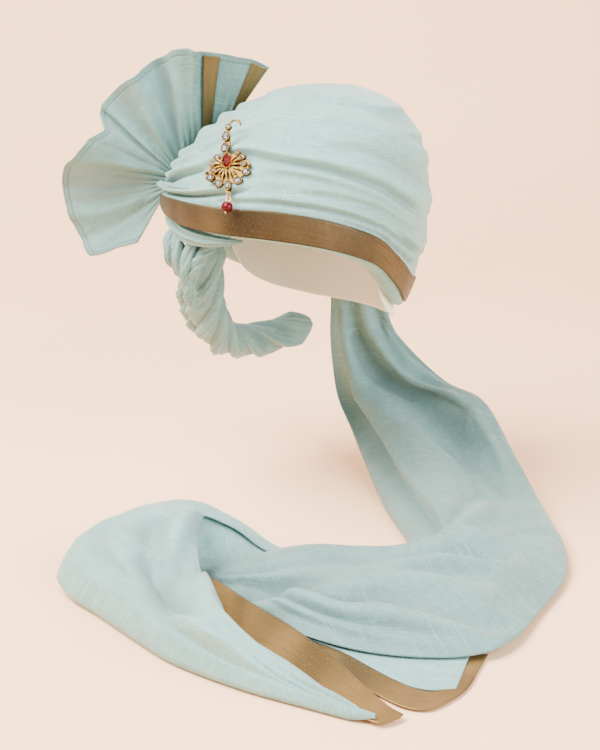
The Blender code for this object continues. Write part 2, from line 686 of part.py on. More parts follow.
def build_fan_stripe(name, ribs, group, look):
    first, last = ribs
    lift = (FAN_WALL + BORDER_WALL) / 2 + 2 * GAP

    def place(across, down):
        out = STRIPE_START + (STRIPE_END - STRIPE_START) * down
        left = fan_point(first, out)
        right = fan_point(last, out)
        ahead = fan_point(first, out + 0.02) - fan_point(first, out - 0.02)
        outward = ahead.cross(right - left).normalized()
        if outward.y > 0:
            outward = -outward
        return left.lerp(right, STRIPE_INSET + (1 - 2 * STRIPE_INSET) * across) + outward * lift

    sheet(name, 1, FAN_ROWS - 1, place, BORDER_WALL, group, look)


# Tail

def floor_place(x_share, y_share, up_share):
    return Vector((x_share * TAIL_SPREAD, y_share * TAIL_REACH, up_share * FLOOR_DROP - FLOOR_DROP))


def tail_top(across):
    """The gathered start of the tail, just under the rim at the right of the nape."""
    azimuth = 167 - 32 * across
    return rim_underside(azimuth, 0.48, GAP + TAIL_WALL)


def tail_point(across, down):
    row = down
    inner = floor_place(*(along(TAIL_ROWS, key, row) for key in ("inner_x", "inner_y", "inner_up")))
    outer = floor_place(*(along(TAIL_ROWS, key, row) for key in ("outer_x", "outer_y", "outer_up")))
    point = inner.lerp(outer, across)
    top_share = max(0.0, 1 - down * (len(TAIL_ROWS["puff"]) - 1)) ** 2
    point = point.lerp(tail_top(across), top_share)
    crest = math.sin(math.pi * across ** 0.5) ** 0.8 if 0 < across < 1 else 0.0
    point.z += TAIL_PUFF * along(TAIL_ROWS, "puff", row) * crest
    wave = math.cos(math.tau * along(TAIL_ROWS, "waves", row) * across) - 1
    fold = TAIL_PLEAT * along(TAIL_ROWS, "pleat", row) * wave * 0.5 * math.sin(math.pi * across) ** 0.5
    across_way = (outer - inner).normalized()
    ahead = floor_place(*(along(TAIL_ROWS, key, min(row + 0.02, 1)) for key in ("inner_x", "inner_y", "inner_up")))
    behind = floor_place(*(along(TAIL_ROWS, key, max(row - 0.02, 0)) for key in ("inner_x", "inner_y", "inner_up")))
    outward = across_way.cross(ahead - behind).normalized()
    return point + outward * fold


def build_tail_fall(group, look):
    sheet("tail_fall", TAIL_COLUMNS, TAIL_STATIONS, tail_point, TAIL_WALL, group, look)


def turn_point(across, down):
    """Point of the turned end: across runs from under the fold, round it and up to the free edge."""
    fold = floor_place(along(TURN_ROWS, "fold_x", down), along(TURN_ROWS, "fold_y", down), 0)
    edge = floor_place(*(along(TURN_ROWS, key, down) for key in ("edge_x", "edge_y", "edge_up")))
    floor = -FLOOR_DROP + 0.6 * TAIL_WALL
    rise = min(TURN_FOLD_RISE * along(TURN_ROWS, "bulge", down) + 1.6 * TAIL_WALL, edge.z - floor + TAIL_WALL)
    turned = 0.30
    if across <= turned:
        share = 1 - across / turned
        point = fold.lerp(edge, 0.03 + along(TURN_ROWS, "under", down) * share)
        point.z = floor
        return point
    share = (across - turned) / (1 - turned)
    point = fold.lerp(edge, share)
    eased = 1 - (1 - share) ** 2.4
    bulge = LOBE_PUFF * along(TURN_ROWS, "bulge", down) * math.sin(math.pi * share ** 0.8)
    point.z = floor + rise * min(1.0, share * 9) ** 0.5 + (edge.z - floor - rise) * eased + bulge
    return point


def build_tail_turn(group, look):
    sheet("tail_turn", TURN_COLUMNS, TURN_STATIONS, turn_point, TAIL_WALL, group, look)


def build_front_band(group, look):
    def place(across, down):
        upper = floor_place(*(along(FRONT_BAND, key, down) for key in ("upper_x", "upper_y", "upper_up")))
        lower = floor_place(*(along(FRONT_BAND, key, down) for key in ("lower_x", "lower_y", "lower_up")))
        return upper.lerp(lower, across)

    sheet("tail_border_front", 2, 22, place, BORDER_WALL, group, look)


def build_panel(group, look):
    def place(across, down):
        back = floor_place(along(PANEL, "back_x", down), along(PANEL, "back_y", down), PANEL_BACK_UP)
        front = floor_place(along(PANEL, "front_x", down), along(PANEL, "front_y", down), FLAT_UP)
        return back.lerp(front, across)

    sheet("tail_panel", 2, 12, place, BORDER_WALL, group, look)


def build_inner_band(group, look):
    def place(across, down):
        inner = floor_place(along(INNER_BAND, "inner_x", down), along(INNER_BAND, "inner_y", down), INNER_BAND_UP)
        outer = floor_place(along(INNER_BAND, "outer_x", down), along(INNER_BAND, "outer_y", down), INNER_BAND_UP)
        return inner.lerp(outer, across)

    sheet("tail_border_inner", 2, 26, place, BORDER_WALL, group, look)


# Brooch

def brooch_frame():
    """Matrix of the brooch: X to the right, Y up the crown, Z out of it and turned a little to the front."""
    point, outward = crown_surface(BROOCH_AZIMUTH, BROOCH_ABOVE_RIM, BROOCH_STANDOFF)
    outward = outward.lerp(Vector(BROOCH_FRONT), BROOCH_FACING).normalized()
    across = Vector((0, 0, 1)).cross(outward).normalized()
    upward = outward.cross(across).normalized()
    turn = Matrix((across, upward, outward)).transposed().to_4x4()
    return Matrix.Translation(point) @ turn @ Matrix.Rotation(math.radians(BROOCH_TURN), 4, "Z")


def cylinder(bm, middle, half_x, half_y, low, high, sides, outline=None, turn=0.0):
    made = bmesh.ops.create_cone(bm, cap_ends=True, segments=sides, radius1=1, radius2=1, depth=1)
    for vertex in made["verts"]:
        angle = math.atan2(vertex.co.y, vertex.co.x)
        reach = outline(angle) if outline else 1.0
        vertex.co.x = middle[0] + half_x * reach * math.cos(angle + turn)
        vertex.co.y = middle[1] + half_y * reach * math.sin(angle + turn)
        vertex.co.z = low if vertex.co.z < 0 else high


def solid_object(name, fill, group, look=None):
    bm = bmesh.new()
    fill(bm)
    mesh = mesh_from(name, bm)
    made = bpy.data.objects.new(name, mesh)
    if look:
        mesh.materials.append(look)
    group.objects.link(made)
    return made


def teardrop(angle):
    """Outline of a drop with its point up."""
    upward = 0.5 + 0.5 * math.sin(angle)
    return 0.86 + 0.24 * upward ** 6


def stone_middle(stone):
    return stone["x"] * BROOCH_WIDTH, stone["y"] * BROOCH_HEIGHT


def stone_halves(stone, more=0.0):
    return stone["half_x"] * BROOCH_WIDTH + more, stone["half_y"] * BROOCH_HEIGHT + more


def build_stone(name, stone, outline, group, look, frame):
    """A cut stone: flat table, bevelled facets, girdle and a short pavilion."""
    half_x, half_y = stone_halves(stone)
    bm = bmesh.new()
    rings = ((0.45, 0.0), (1.0, 0.42), (1.0, 0.52), (0.58, 1.0))
    bmesh.ops.create_cone(bm, cap_ends=True, segments=STONE_SIDES, radius1=1, radius2=1, depth=1)
    bm.edges.ensure_lookup_table()
    uprights = [edge for edge in bm.edges if abs(edge.verts[0].co.z - edge.verts[1].co.z) > 0.5]
    bmesh.ops.subdivide_edges(bm, edges=uprights, cuts=len(rings) - 2)
    for vertex in bm.verts:
        ring = rings[round((vertex.co.z + 0.5) * (len(rings) - 1))]
        angle = math.atan2(vertex.co.y, vertex.co.x)
        reach = ring[0] * (outline(angle) if outline else 1.0)
        vertex.co = (half_x * reach * math.cos(angle), half_y * reach * math.sin(angle), ring[1] * STONE_DEPTH)
    mesh = mesh_from(name, bm)
    mesh.materials.append(look)
    made = bpy.data.objects.new(name, mesh)
    group.objects.link(made)
    across, upward = stone_middle(stone)
    made.matrix_world = frame @ Matrix.Translation((across, upward, BACK_PLATE + STONE_CLEAR))


def tube_mesh(name, points, thickness, closed=False):
    """Mesh of a round wire through the given points, made from a bevelled curve."""
    curve = bpy.data.curves.new(name, "CURVE")
    curve.dimensions = "3D"
    curve.bevel_depth = thickness
    curve.bevel_resolution = 1
    curve.use_fill_caps = not closed
    spline = curve.splines.new("POLY")
    spline.points.add(len(points) - 1)
    for spline_point, point in zip(spline.points, points):
        spline_point.co = (*point, 1.0)
    spline.use_cyclic_u = closed
    holder = bpy.data.objects.new(name, curve)
    bpy.context.scene.collection.objects.link(holder)
    graph = bpy.context.evaluated_depsgraph_get()
    mesh = bpy.data.meshes.new_from_object(holder.evaluated_get(graph))
    bpy.data.objects.remove(holder, do_unlink=True)
    bm = bmesh.new()
    bm.from_mesh(mesh)
    bpy.data.meshes.remove(mesh)
    bmesh.ops.remove_doubles(bm, verts=bm.verts, dist=1e-6)
    return mesh_from(name, bm)


def ring_points(middle, radius, count, plane):
    points = []
    for index in range(count):
        angle = math.tau * index / count
        first = radius * math.cos(angle)
        second = radius * math.sin(angle)
        if plane == "front":
            points.append((middle[0] + first, middle[1] + second, middle[2]))
        else:
            points.append((middle[0], middle[1] + first, middle[2] + second))
    return points


def build_brooch(group, cutters, looks, frame):
    width = BROOCH_WIDTH
    height = BROOCH_HEIGHT
    top = BACK_PLATE + COLLET_RISE
    ray_count = 11

    def rays(angle):
        return 1 + 0.09 * math.cos(ray_count * angle)

    def plate(bm):
        cylinder(bm, (0.0, -0.045 * height), 0.36 * width, 0.235 * height, 0.0, BACK_PLATE, 4 * ray_count, rays)

    setting = solid_object("brooch_setting", plate, group, looks["brooch_gold"])
    adds = []
    cuts = []
    for number, stone in enumerate((RUBY, *CLEAR_STONES)):
        outline = teardrop if number == 0 else None
        middle = stone_middle(stone)

        def collet(bm, stone=stone, middle=middle, outline=outline):
            outer = stone_halves(stone, COLLET_WALL + STONE_CLEAR)
            cylinder(bm, middle, *outer, -0.02 * BACK_PLATE, top, STONE_SIDES, outline)

        def seat(bm, stone=stone, middle=middle, outline=outline):
            inner = stone_halves(stone, STONE_CLEAR)
            cylinder(bm, middle, *inner, BACK_PLATE, top + COLLET_RISE, STONE_SIDES, outline)

        adds.append(solid_object(f"add_collet_{number}", collet, cutters))
        cuts.append(solid_object(f"cut_seat_{number}", seat, cutters))

    def stem(bm):
        cylinder(bm, (-0.03 * width, 0.40 * height), 0.065 * width, 0.28 * height, 0.1 * BACK_PLATE,
                 0.9 * BACK_PLATE, 14)

    def bottom_tab(bm):
        cylinder(bm, (0.0, -0.335 * height), 0.07 * width, 0.085 * height, 0.1 * BACK_PLATE, 0.9 * BACK_PLATE, 12)

    adds.append(solid_object("add_stem", stem, cutters))
    adds.append(solid_object("add_tab", bottom_tab, cutters))
    for side in (-1, 1):
        def arm(bm, side=side):
            cylinder(bm, (side * 0.33 * width, -0.03 * height), 0.165 * width, 0.10 * height, 0.05 * BACK_PLATE,
                     0.95 * BACK_PLATE, 12)

        def ball(bm, side=side):
            made = bmesh.ops.create_uvsphere(bm, u_segments=10, v_segments=6, radius=0.042 * width)
            bmesh.ops.translate(bm, verts=made["verts"], vec=(side * 0.485 * width, -0.05 * height, BACK_PLATE))

        adds.append(solid_object(f"add_arm_{side + 1}", arm, cutters))
        adds.append(solid_object(f"add_ball_{side + 1}", ball, cutters))
    hook_points = (
        (0.00, 0.64 * height, 0.6 * BACK_PLATE),
        (0.03 * width, 0.695 * height, 0.6 * BACK_PLATE),
        (0.12 * width, 0.725 * height, 0.6 * BACK_PLATE),
        (0.22 * width, 0.700 * height, 0.6 * BACK_PLATE),
        (0.27 * width, 0.625 * height, 0.6 * BACK_PLATE),
    )
    hook_mesh = tube_mesh("add_hook", hook_points, 0.0011)
    hook = bpy.data.objects.new("add_hook", hook_mesh)
    cutters.objects.link(hook)
    adds.append(hook)
    loop_middle = (0.0, -0.405 * height - LINK_RADIUS * 0.55, 0.5 * BACK_PLATE)
    loop = bpy.data.objects.new("add_loop", tube_mesh("add_loop", ring_points(loop_middle, LINK_RADIUS, 12, "front"),
                                                      LINK_WIRE, closed=True))
    cutters.objects.link(loop)
    adds.append(loop)

    for helper in adds + cuts:
        helper.hide_render = True
        helper.display_type = "WIRE"
    for helper in adds:
        union = setting.modifiers.new(helper.name, "BOOLEAN")
        union.operation = "UNION"
        union.solver = "EXACT"
        union.object = helper
    for helper in cuts:
        cut = setting.modifiers.new(helper.name, "BOOLEAN")
        cut.operation = "DIFFERENCE"
        cut.solver = "EXACT"
        cut.object = helper
    for piece in (setting, *adds, *cuts):
        piece.matrix_world = frame
    for number, stone in enumerate(CLEAR_STONES, start=1):
        build_stone(f"clear_stone_{number:02d}", stone, None, group, looks["crystal"], frame)
    build_stone("ruby_stone", RUBY, teardrop, group, looks["ruby"], frame)
    build_drop(group, cutters, looks, frame, loop_middle)


def build_drop(group, cutters, looks, frame, loop_middle):
    """The link under the brooch, the pin that it holds and the red bead on the pin."""
    link_middle = (loop_middle[0], loop_middle[1] - 2 * (LINK_RADIUS - LINK_WIRE) + LINK_CLEAR, loop_middle[2])
    link_mesh = tube_mesh("drop_link", ring_points(link_middle, LINK_RADIUS, 12, "side"), LINK_WIRE, closed=True)
    link_mesh.materials.append(looks["brooch_gold"])
    link = bpy.data.objects.new("drop_link", link_mesh)
    group.objects.link(link)
    link.matrix_world = frame

    eye_middle = (link_middle[0], link_middle[1] - 2 * (LINK_RADIUS - LINK_WIRE) + LINK_CLEAR, link_middle[2])
    bead_top = eye_middle[1] - LINK_RADIUS - LINK_WIRE
    bead_middle = Vector((eye_middle[0], bead_top - BEAD_RADIUS - PIN_CLEAR, eye_middle[2] + BEAD_RADIUS * 0.55))
    lean = bead_middle - Vector((eye_middle[0], eye_middle[1] - LINK_RADIUS, eye_middle[2]))
    lean.normalize()

    eye_mesh = tube_mesh("bead_pin", ring_points(eye_middle, LINK_RADIUS, 12, "front"), LINK_WIRE, closed=True)
    eye_mesh.materials.append(looks["brooch_gold"])
    pin = bpy.data.objects.new("bead_pin", eye_mesh)
    group.objects.link(pin)
    start = Vector((eye_middle[0], eye_middle[1] - LINK_RADIUS, eye_middle[2]))
    wire_end = bead_middle + lean * (BEAD_RADIUS + 3 * LINK_WIRE)
    wire = bpy.data.objects.new("add_wire", tube_mesh("add_wire", (start, wire_end), LINK_WIRE))
    cutters.objects.link(wire)

    def knob(bm):
        made = bmesh.ops.create_uvsphere(bm, u_segments=10, v_segments=6, radius=2.2 * LINK_WIRE)
        bmesh.ops.translate(bm, verts=made["verts"], vec=wire_end)

    end_knob = solid_object("add_knob", knob, cutters)

    def ball(bm):
        bmesh.ops.create_uvsphere(bm, u_segments=16, v_segments=10, radius=BEAD_RADIUS)

    bead = solid_object("red_bead", ball, group, looks["red_bead"])

    def bore(bm):
        bmesh.ops.create_cone(bm, cap_ends=True, segments=10, radius1=BEAD_BORE + PIN_CLEAR,
                              radius2=BEAD_BORE + PIN_CLEAR, depth=4 * BEAD_RADIUS)

    bead_bore = solid_object("cut_bore", bore, cutters)
    for helper in (wire, end_knob, bead_bore):
        helper.hide_render = True
        helper.display_type = "WIRE"
    for helper in (wire, end_knob):
        union = pin.modifiers.new(helper.name, "BOOLEAN")
        union.operation = "UNION"
        union.solver = "EXACT"
        union.object = helper
        helper.matrix_world = frame
    cut = bead.modifiers.new("bore", "BOOLEAN")
    cut.operation = "DIFFERENCE"
    cut.solver = "EXACT"
    cut.object = bead_bore
    pin.matrix_world = frame
    swing = Vector((0, 0, -1)).rotation_difference(lean).to_matrix().to_4x4()
    bead.matrix_world = frame @ Matrix.Translation(bead_middle) @ swing
    bead_bore.matrix_world = bead.matrix_world


def main():
    clear_scene()
    group = collection("tied_turban")
    cutters = collection("cutters")
    looks = {name: material(name) for name in COLOURS}
    build_crown(group, looks["mint"])
    build_front_border(group, looks["gold_weave"])
    build_lining(group, looks["lining_cotton"])
    build_under_wrap(group, looks["mint"])
    build_knot_roll(group, looks["mint"])
    build_side_roll(group, looks["mint"])
    build_outer_strand(group, looks["mint"])
    build_twisted_roll(group, looks["mint"])
    build_fan(group, looks["mint"])
    build_fan_stripe("fan_border_front", FRONT_STRIPE_RIBS, group, looks["gold_weave"])
    build_fan_stripe("fan_border_back", BACK_STRIPE_RIBS, group, looks["gold_weave"])
    build_tail_fall(group, looks["mint"])
    build_tail_turn(group, looks["mint"])
    build_panel(group, looks["mint"])
    build_front_band(group, looks["gold_weave"])
    build_inner_band(group, looks["gold_weave"])
    build_brooch(group, cutters, looks, brooch_frame())


main()
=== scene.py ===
"""Dressed tied turban: wound silk cotton, woven gold border, pleated fan, rolls, brooch and a long tail.

Every cloth piece is laid on the surface of the solid that it stands for, finer, with its folds and
hems, and its threads in the material.
"""

import math

import bmesh
import bpy
import numpy as np
from bpy.props import FloatProperty, FloatVectorProperty, IntProperty
from mathutils import Matrix, Vector, noise


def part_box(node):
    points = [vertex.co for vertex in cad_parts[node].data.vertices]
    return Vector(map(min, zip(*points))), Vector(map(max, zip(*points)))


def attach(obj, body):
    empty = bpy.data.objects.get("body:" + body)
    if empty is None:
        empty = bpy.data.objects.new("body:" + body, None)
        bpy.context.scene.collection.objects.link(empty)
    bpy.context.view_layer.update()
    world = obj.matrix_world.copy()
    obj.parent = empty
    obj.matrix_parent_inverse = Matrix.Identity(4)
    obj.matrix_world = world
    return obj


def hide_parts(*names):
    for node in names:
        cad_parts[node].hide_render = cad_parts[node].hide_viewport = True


bl_info = {
    "name": "Tied turban",
    "version": (1, 0, 0),
    "blender": (4, 5, 0),
    "location": "View3D > Sidebar > Turban",
    "description": "Wound turban with its fan, rolls, brooch and tail",
    "category": "Object",
}

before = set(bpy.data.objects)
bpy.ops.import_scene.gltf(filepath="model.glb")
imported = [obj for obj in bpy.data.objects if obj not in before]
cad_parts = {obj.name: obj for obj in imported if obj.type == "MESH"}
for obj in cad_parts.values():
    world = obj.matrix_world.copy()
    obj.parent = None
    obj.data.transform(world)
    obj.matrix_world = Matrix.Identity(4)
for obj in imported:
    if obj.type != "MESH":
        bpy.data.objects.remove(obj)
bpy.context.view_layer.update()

# Head hollow and wound cloth
HEAD_WIDTH = 0.162
HEAD_DEPTH = 0.202
HEAD_DOME = 0.090
WRAP_LEFT = 0.0435
WRAP_RIGHT = 0.0315
WRAP_FRONT = 0.0225
WRAP_TOP = 0.035
TOP_LEAN = 0.020
WIDEST_DROP = 0.066
RIM_DROP = 0.160
RIM_LIP = 0.004
RIM_TUCK_LENGTH = 0.080
FOLD_LIFT = 0.0058
CROWN_COLUMNS = 54

# Cloth walls and clearances
GAP = 0.0004
LINING_WALL = 0.002
BORDER_WALL = 0.0012
BORDER_CLEAR = 0.0009
FAN_WALL = 0.002
TAIL_WALL = 0.002

# Border and lining at the rim
BORDER_WIDTH = 0.024
BORDER_START = 0.235
LINING_SHOWS = 0.019
LINING_HIDDEN = 0.028
LINING_START = 0.65
LINING_END = 1.14

# Folds and rolls below the border
UNDER_WRAP_HEIGHT = 0.0175
UNDER_WRAP_DEPTH = 0.021
SIDE_ROLL_RADIUS = 0.0092
SIDE_ROLL_LENGTH = 0.046
STRAND_RADIUS = 0.0095
KNOT_ROLL_RADIUS = 0.0042
KNOT_ROLL_REACH = 46.0
KNOT_ROLL_PRESS = 0.8
TWIST_RADIUS = 0.0182
TWIST_DROP = 0.128
TWIST_PITCH = 0.066
STRAND_PRESS = 0.93
STRAND_SIDE = Vector((-0.66, 0.75, 0.0))

# Fan
FAN_REACH = 0.130
FAN_CLEAR = 0.0016
PLEAT_DEPTH = 0.030

# Tail
FLOOR_DROP = 0.343
TAIL_SPREAD = 0.220
TAIL_REACH = 0.450
TAIL_PUFF = 0.030
TAIL_PLEAT = 0.020
LOBE_PUFF = 0.014

HALF_PI = math.pi / 2

# Rim, by azimuth in degrees from the front towards the right ear. drop is a share of RIM_DROP, border of
# BORDER_WIDTH. tuck is how far the wall draws in below its widest level, as a share of its radius. full
# is the exponent of the dome's profile. step is the share of FOLD_LIFT that the folds keep there.
RIM = {
    "azimuth": (-180, -140, -112, -90, -66, -50, -33, -13, 0, 11, 23, 35, 47, 66, 90, 135),
    "drop": (0.99, 0.86, 0.56, 0.43, 0.454, 0.467, 0.472, 0.481, 0.502, 0.531, 0.58, 0.65, 0.766, 0.92,
             0.985, 1.01),
    "border": (1.0, 0.9, 0.45, 0.30, 0.72, 0.86, 0.92, 1.0, 1.0, 1.0, 1.0, 1.0, 1.0, 1.0, 1.0, 1.0),
    "tuck": (0.07, 0.07, 0.08, 0.10, 0.10, 0.10, 0.10, 0.10, 0.10, 0.10, 0.11, 0.12, 0.13, 0.14, 0.145, 0.10),
    "full": (2.1, 2.0, 1.85, 1.8, 1.85, 1.95, 2.1, 2.1, 2.1, 2.1, 2.1, 2.1, 2.1, 2.15, 2.2, 2.1),
    "step": (0.7, 0.3, 0.0, 0.0, 0.3, 0.6, 0.6, 0.5, 0.5, 0.6, 0.7, 0.8, 0.9, 1.0, 1.0, 0.9),
}

# Rows of the wound dome from its top to the border: share of the way down, and lift as a share of
# FOLD_LIFT.
CROWN_ROWS = {
    "down": (0.10, 0.21, 0.31, 0.335, 0.44, 0.54, 0.565, 0.65, 0.73, 0.752, 0.82, 0.885, 0.905, 1.0),
    "lift": (0.1, 0.2, 0.7, -0.4, 0.3, 1.0, -0.5, 0.3, 1.0, -0.6, 0.4, 0.9, -0.6, 0.0),
}
UNDER_WRAP_ROUTE = (-106, -96, -86, -75, -62, -49, -37, -26)
UNDER_WRAP_INSET = 0.30
KNOT_AZIMUTH = -95.0
KNOT_SPREAD = 45.0
KNOT_DRAW = 0.70
HOLLOW_STEP = 0.006

# Fan ribs, from the lower edge round to the top: angle in degrees and reach as a share of FAN_REACH, both
# from the knot; depth is a share of PLEAT_DEPTH, forward negative; root is the place on the crown, 0 low
# and 1 high.
FAN_RIBS = {
    "angle": (242, 231, 223, 213, 203, 193, 182, 171, 160, 147, 136, 132, 122, 113, 105, 98, 91.5, 85,
              79.5, 76.2, 74.5, 66.0, 60.5, 55.0, 47.5),
    "reach": (0.45, 0.58, 0.77, 0.755, 0.75, 0.75, 0.745, 0.715, 0.65, 0.60, 0.56, 0.68, 0.715, 0.745, 0.775,
              0.82,
              0.855, 0.92, 0.94, 0.935, 0.93, 0.965, 0.985, 1.025, 1.055),
    "depth": (-0.55, -0.30, 0.05, 0.35, 0.45, 0.30, 0.05, -0.25, -0.55, -0.70, -0.35, 0.40, 0.25, -0.10,
              -0.30,
              0.05, 0.35, 0.05, -0.30, -0.45, 0.20, 0.25, 0.35, 0.45, 0.55),
    "root": (0.0, 0.02, 0.04, 0.06, 0.08, 0.10, 0.12, 0.14, 0.16, 0.18, 0.20, 0.22, 0.25, 0.28, 0.31, 0.35,
             0.39, 0.44, 0.50, 0.55, 0.60, 0.71, 0.79, 0.88, 1.0),
}
FRONT_STRIPE_RIBS = (20, 21)
BACK_STRIPE_RIBS = (23, 24)
FAN_ROOT_LOW = {"azimuth": -99.0, "down": 1.0}
FAN_ROOT_HIGH = {"azimuth": -128.0, "down": 0.42}
STRIPE_START = 0.05
STRIPE_END = 0.93
STRIPE_INSET = 0.10

# Tail, a row for each section from the nape down and across the floor to the left. x is a share of
# TAIL_SPREAD, y of TAIL_REACH, up of FLOOR_DROP; puff is a share of TAIL_PUFF and pleat of TAIL_PLEAT.
TAIL_ROWS = {
    "inner_x": (0.12, 0.13, 0.13, 0.16, 0.22, 0.27, 0.34, 0.42, 0.47, 0.39, 0.25, 0.09, -0.05, -0.18, -0.29,
                -0.40),
    "inner_y": (0.262, 0.278, 0.280, 0.254, 0.189, 0.089, -0.109, -0.300, -0.385, -0.415, -0.430, -0.422,
                -0.4055,
                -0.415, -0.428, -0.440),
    "inner_up": (0.50, 0.446, 0.315, 0.172, 0.093, 0.044, 0.006, 0.006, 0.006, 0.006, 0.006, 0.006, 0.006,
                 0.006,
                 0.006, 0.006),
    "outer_x": (0.38, 0.38, 0.436, 0.632, 0.795, 0.897, 0.977, 1.01, 0.96, 0.84, 0.71, 0.58, 0.37, 0.16,
                -0.05, -0.22),
    "outer_y": (0.222, 0.242, 0.256, 0.196, 0.116, 0.0, -0.144, -0.350, -0.478, -0.600, -0.722, -0.770,
                -0.775,
                -0.745, -0.675, -0.590),
    "outer_up": (0.50, 0.434, 0.344, 0.236, 0.204, 0.108, 0.032, 0.020, 0.014, 0.012, 0.020, 0.022, 0.022,
                 0.020,
                 0.018, 0.010),
    "puff": (0.0, 0.0, 0.0, 0.0, 0.1, 0.3, 0.6, 0.7, 0.85, 1.0, 1.0, 1.0, 0.95, 0.75, 0.45, 0.15),
    "pleat": (0.25, 0.35, 0.6, 0.85, 1.0, 0.95, 0.6, 0.3, 0.25, 0.3, 0.3, 0.3, 0.28, 0.2, 0.1, 0.0),
    "waves": (2.5, 2.5, 2.2, 2.0, 1.8, 1.6, 1.6, 1.6, 1.8, 2.0, 2.0, 2.0, 2.0, 2.0, 2.0, 2.0),
}

# Turned end of the tail, a row for each section round its outer fold. fold is where the cloth turns over
# on the floor, edge the free edge of the upper layer; shares as in TAIL_ROWS. bulge is a share of
# LOBE_PUFF and under the width of the lower layer as a share of the way to the edge.
TURN_ROWS = {
    "fold_x": (0.02, -0.10, -0.22, -0.36, -0.53, -0.71, -0.86, -0.91, -0.86, -0.74, -0.60, -0.44, -0.21, 0.0,
               0.135, 0.22),
    "fold_y": (-0.365, -0.335, -0.295, -0.265, -0.270, -0.315, -0.390, -0.465, -0.535, -0.605, -0.692, -0.783,
               -0.868, -0.925, -0.960, -0.985),
    "edge_x": (-0.03, -0.16, -0.255, -0.360, -0.372, -0.375, -0.372, -0.36, -0.345, -0.32, -0.28, -0.222,
               -0.06,
               0.055, 0.14, 0.222),
    "edge_y": (-0.405, -0.392, -0.390, -0.397, -0.425, -0.465, -0.515, -0.565, -0.61, -0.66, -0.71, -0.762,
               -0.822,
               -0.885, -0.935, -0.966),
    "edge_up": (0.0125, 0.050, 0.098, 0.134, 0.132, 0.128, 0.122, 0.117, 0.110, 0.102, 0.090, 0.073, 0.042,
                0.026,
                0.020, 0.018),
    "bulge": (0.0, 0.05, 0.15, 0.35, 0.75, 1.0, 1.0, 0.9, 0.8, 0.75, 0.65, 0.55, 0.35, 0.2, 0.1, 0.05),
    "under": (0.3, 0.3, 0.3, 0.3, 0.35, 0.35, 0.35, 0.35, 0.35, 0.35, 0.35, 0.3, 0.3, 0.3, 0.3, 0.3),
}
TURN_FOLD_RISE = 0.018

# Place down the turned end where its tip begins to narrow
TIP_START = 0.93

# Gold border of the turned end: upper and lower edge, from inside the fold to the tip.
FRONT_BAND = {
    "upper_x": (-0.43, -0.32, -0.19, -0.06, 0.045, 0.125, 0.19, 0.26, 0.31),
    "upper_y": (-0.500, -0.545, -0.622, -0.692, -0.760, -0.818, -0.876, -0.932, -0.955),
    "upper_up": (0.050, 0.058, 0.050, 0.042, 0.034, 0.028, 0.022, 0.015, 0.010),
    "lower_x": (-0.39, -0.29, -0.215, -0.12, -0.03, 0.045, 0.12, 0.20, 0.27),
    "lower_y": (-0.590, -0.690, -0.752, -0.795, -0.840, -0.885, -0.928, -0.970, -0.990),
    "lower_up": (0.045, 0.045, 0.040, 0.030, 0.020, 0.013, 0.010, 0.008, 0.007),
}

# Flat layer between the two gold borders, and the inner border round its edge.
PANEL = {
    "back_x": (-0.24, -0.10, 0.06, 0.20, 0.33, 0.44, 0.52),
    "back_y": (-0.520, -0.600, -0.660, -0.690, -0.705, -0.715, -0.730),
    "front_x": (-0.31, -0.175, -0.02, 0.13, 0.26, 0.365, 0.435),
    "front_y": (-0.5288, -0.6088, -0.6788, -0.7388, -0.8118, -0.858, -0.8585),
}
INNER_BAND = {
    "inner_x": (-0.31, -0.175, -0.02, 0.13, 0.26, 0.35, 0.405, 0.445, 0.470, 0.500, 0.53),
    "inner_y": (-0.533, -0.613, -0.683, -0.743, -0.816, -0.862, -0.876, -0.866, -0.840, -0.790, -0.745),
    "outer_x": (-0.34, -0.215, -0.06, 0.085, 0.205, 0.31, 0.395, 0.470, 0.530, 0.580, 0.62),
    "outer_y": (-0.585, -0.668, -0.740, -0.803, -0.868, -0.922, -0.932, -0.902, -0.862, -0.800, -0.750),
}
FLAT_UP = 0.0032
PANEL_BACK_UP = 0.0085
INNER_BAND_UP = 0.0032

CROWN_SIDES = (HEAD_WIDTH / 2 + WRAP_LEFT, HEAD_WIDTH / 2 + WRAP_RIGHT)
CROWN_FRONT = HEAD_DEPTH / 2 + WRAP_FRONT + LINING_WALL
HOLLOW_SIDE = HEAD_WIDTH / 2 + LINING_WALL + 2 * GAP
HOLLOW_FRONT = HEAD_DEPTH / 2 + LINING_WALL + 2 * GAP


# Tables read along their rows

def course(places, values, at, turn=None):
    """Cubic through a table's rows, read at one or many places. A turn closes it into a ring."""
    places = np.asarray(places, float)
    values = np.asarray(values, float)
    at = np.asarray(at, float)
    if turn:
        at = (at - places[0]) % turn + places[0]
        places = np.concatenate(([places[-1] - turn], places, [places[0] + turn, places[1] + turn]))
        values = np.concatenate(([values[-1]], values, values[:2]))
    at = np.clip(at, places[0], places[-1])
    row = np.clip(np.searchsorted(places, at, side="right") - 1, 0, len(places) - 2)
    before = np.maximum(row - 1, 0)
    after = np.minimum(row + 2, len(places) - 1)
    span = places[row + 1] - places[row]
    start_slope = (values[row + 1] - values[before]) / (places[row + 1] - places[before])
    end_slope = (values[after] - values[row]) / (places[after] - places[row])
    share = (at - places[row]) / span
    square = share * share
    cube = square * share
    return (
        (2 * cube - 3 * square + 1) * values[row]
        + (cube - 2 * square + share) * span * start_slope
        + (3 * square - 2 * cube) * values[row + 1]
        + (cube - square) * span * end_slope
    )


def along(table, key, share):
    values = table[key]
    return course(range(len(values)), values, np.asarray(share) * (len(values) - 1))


def rim(key, azimuth):
    return course(RIM["azimuth"], RIM[key], azimuth, turn=360)


def spots(x, y, z):
    return np.stack(np.broadcast_arrays(x, y, z), axis=-1).astype(float)


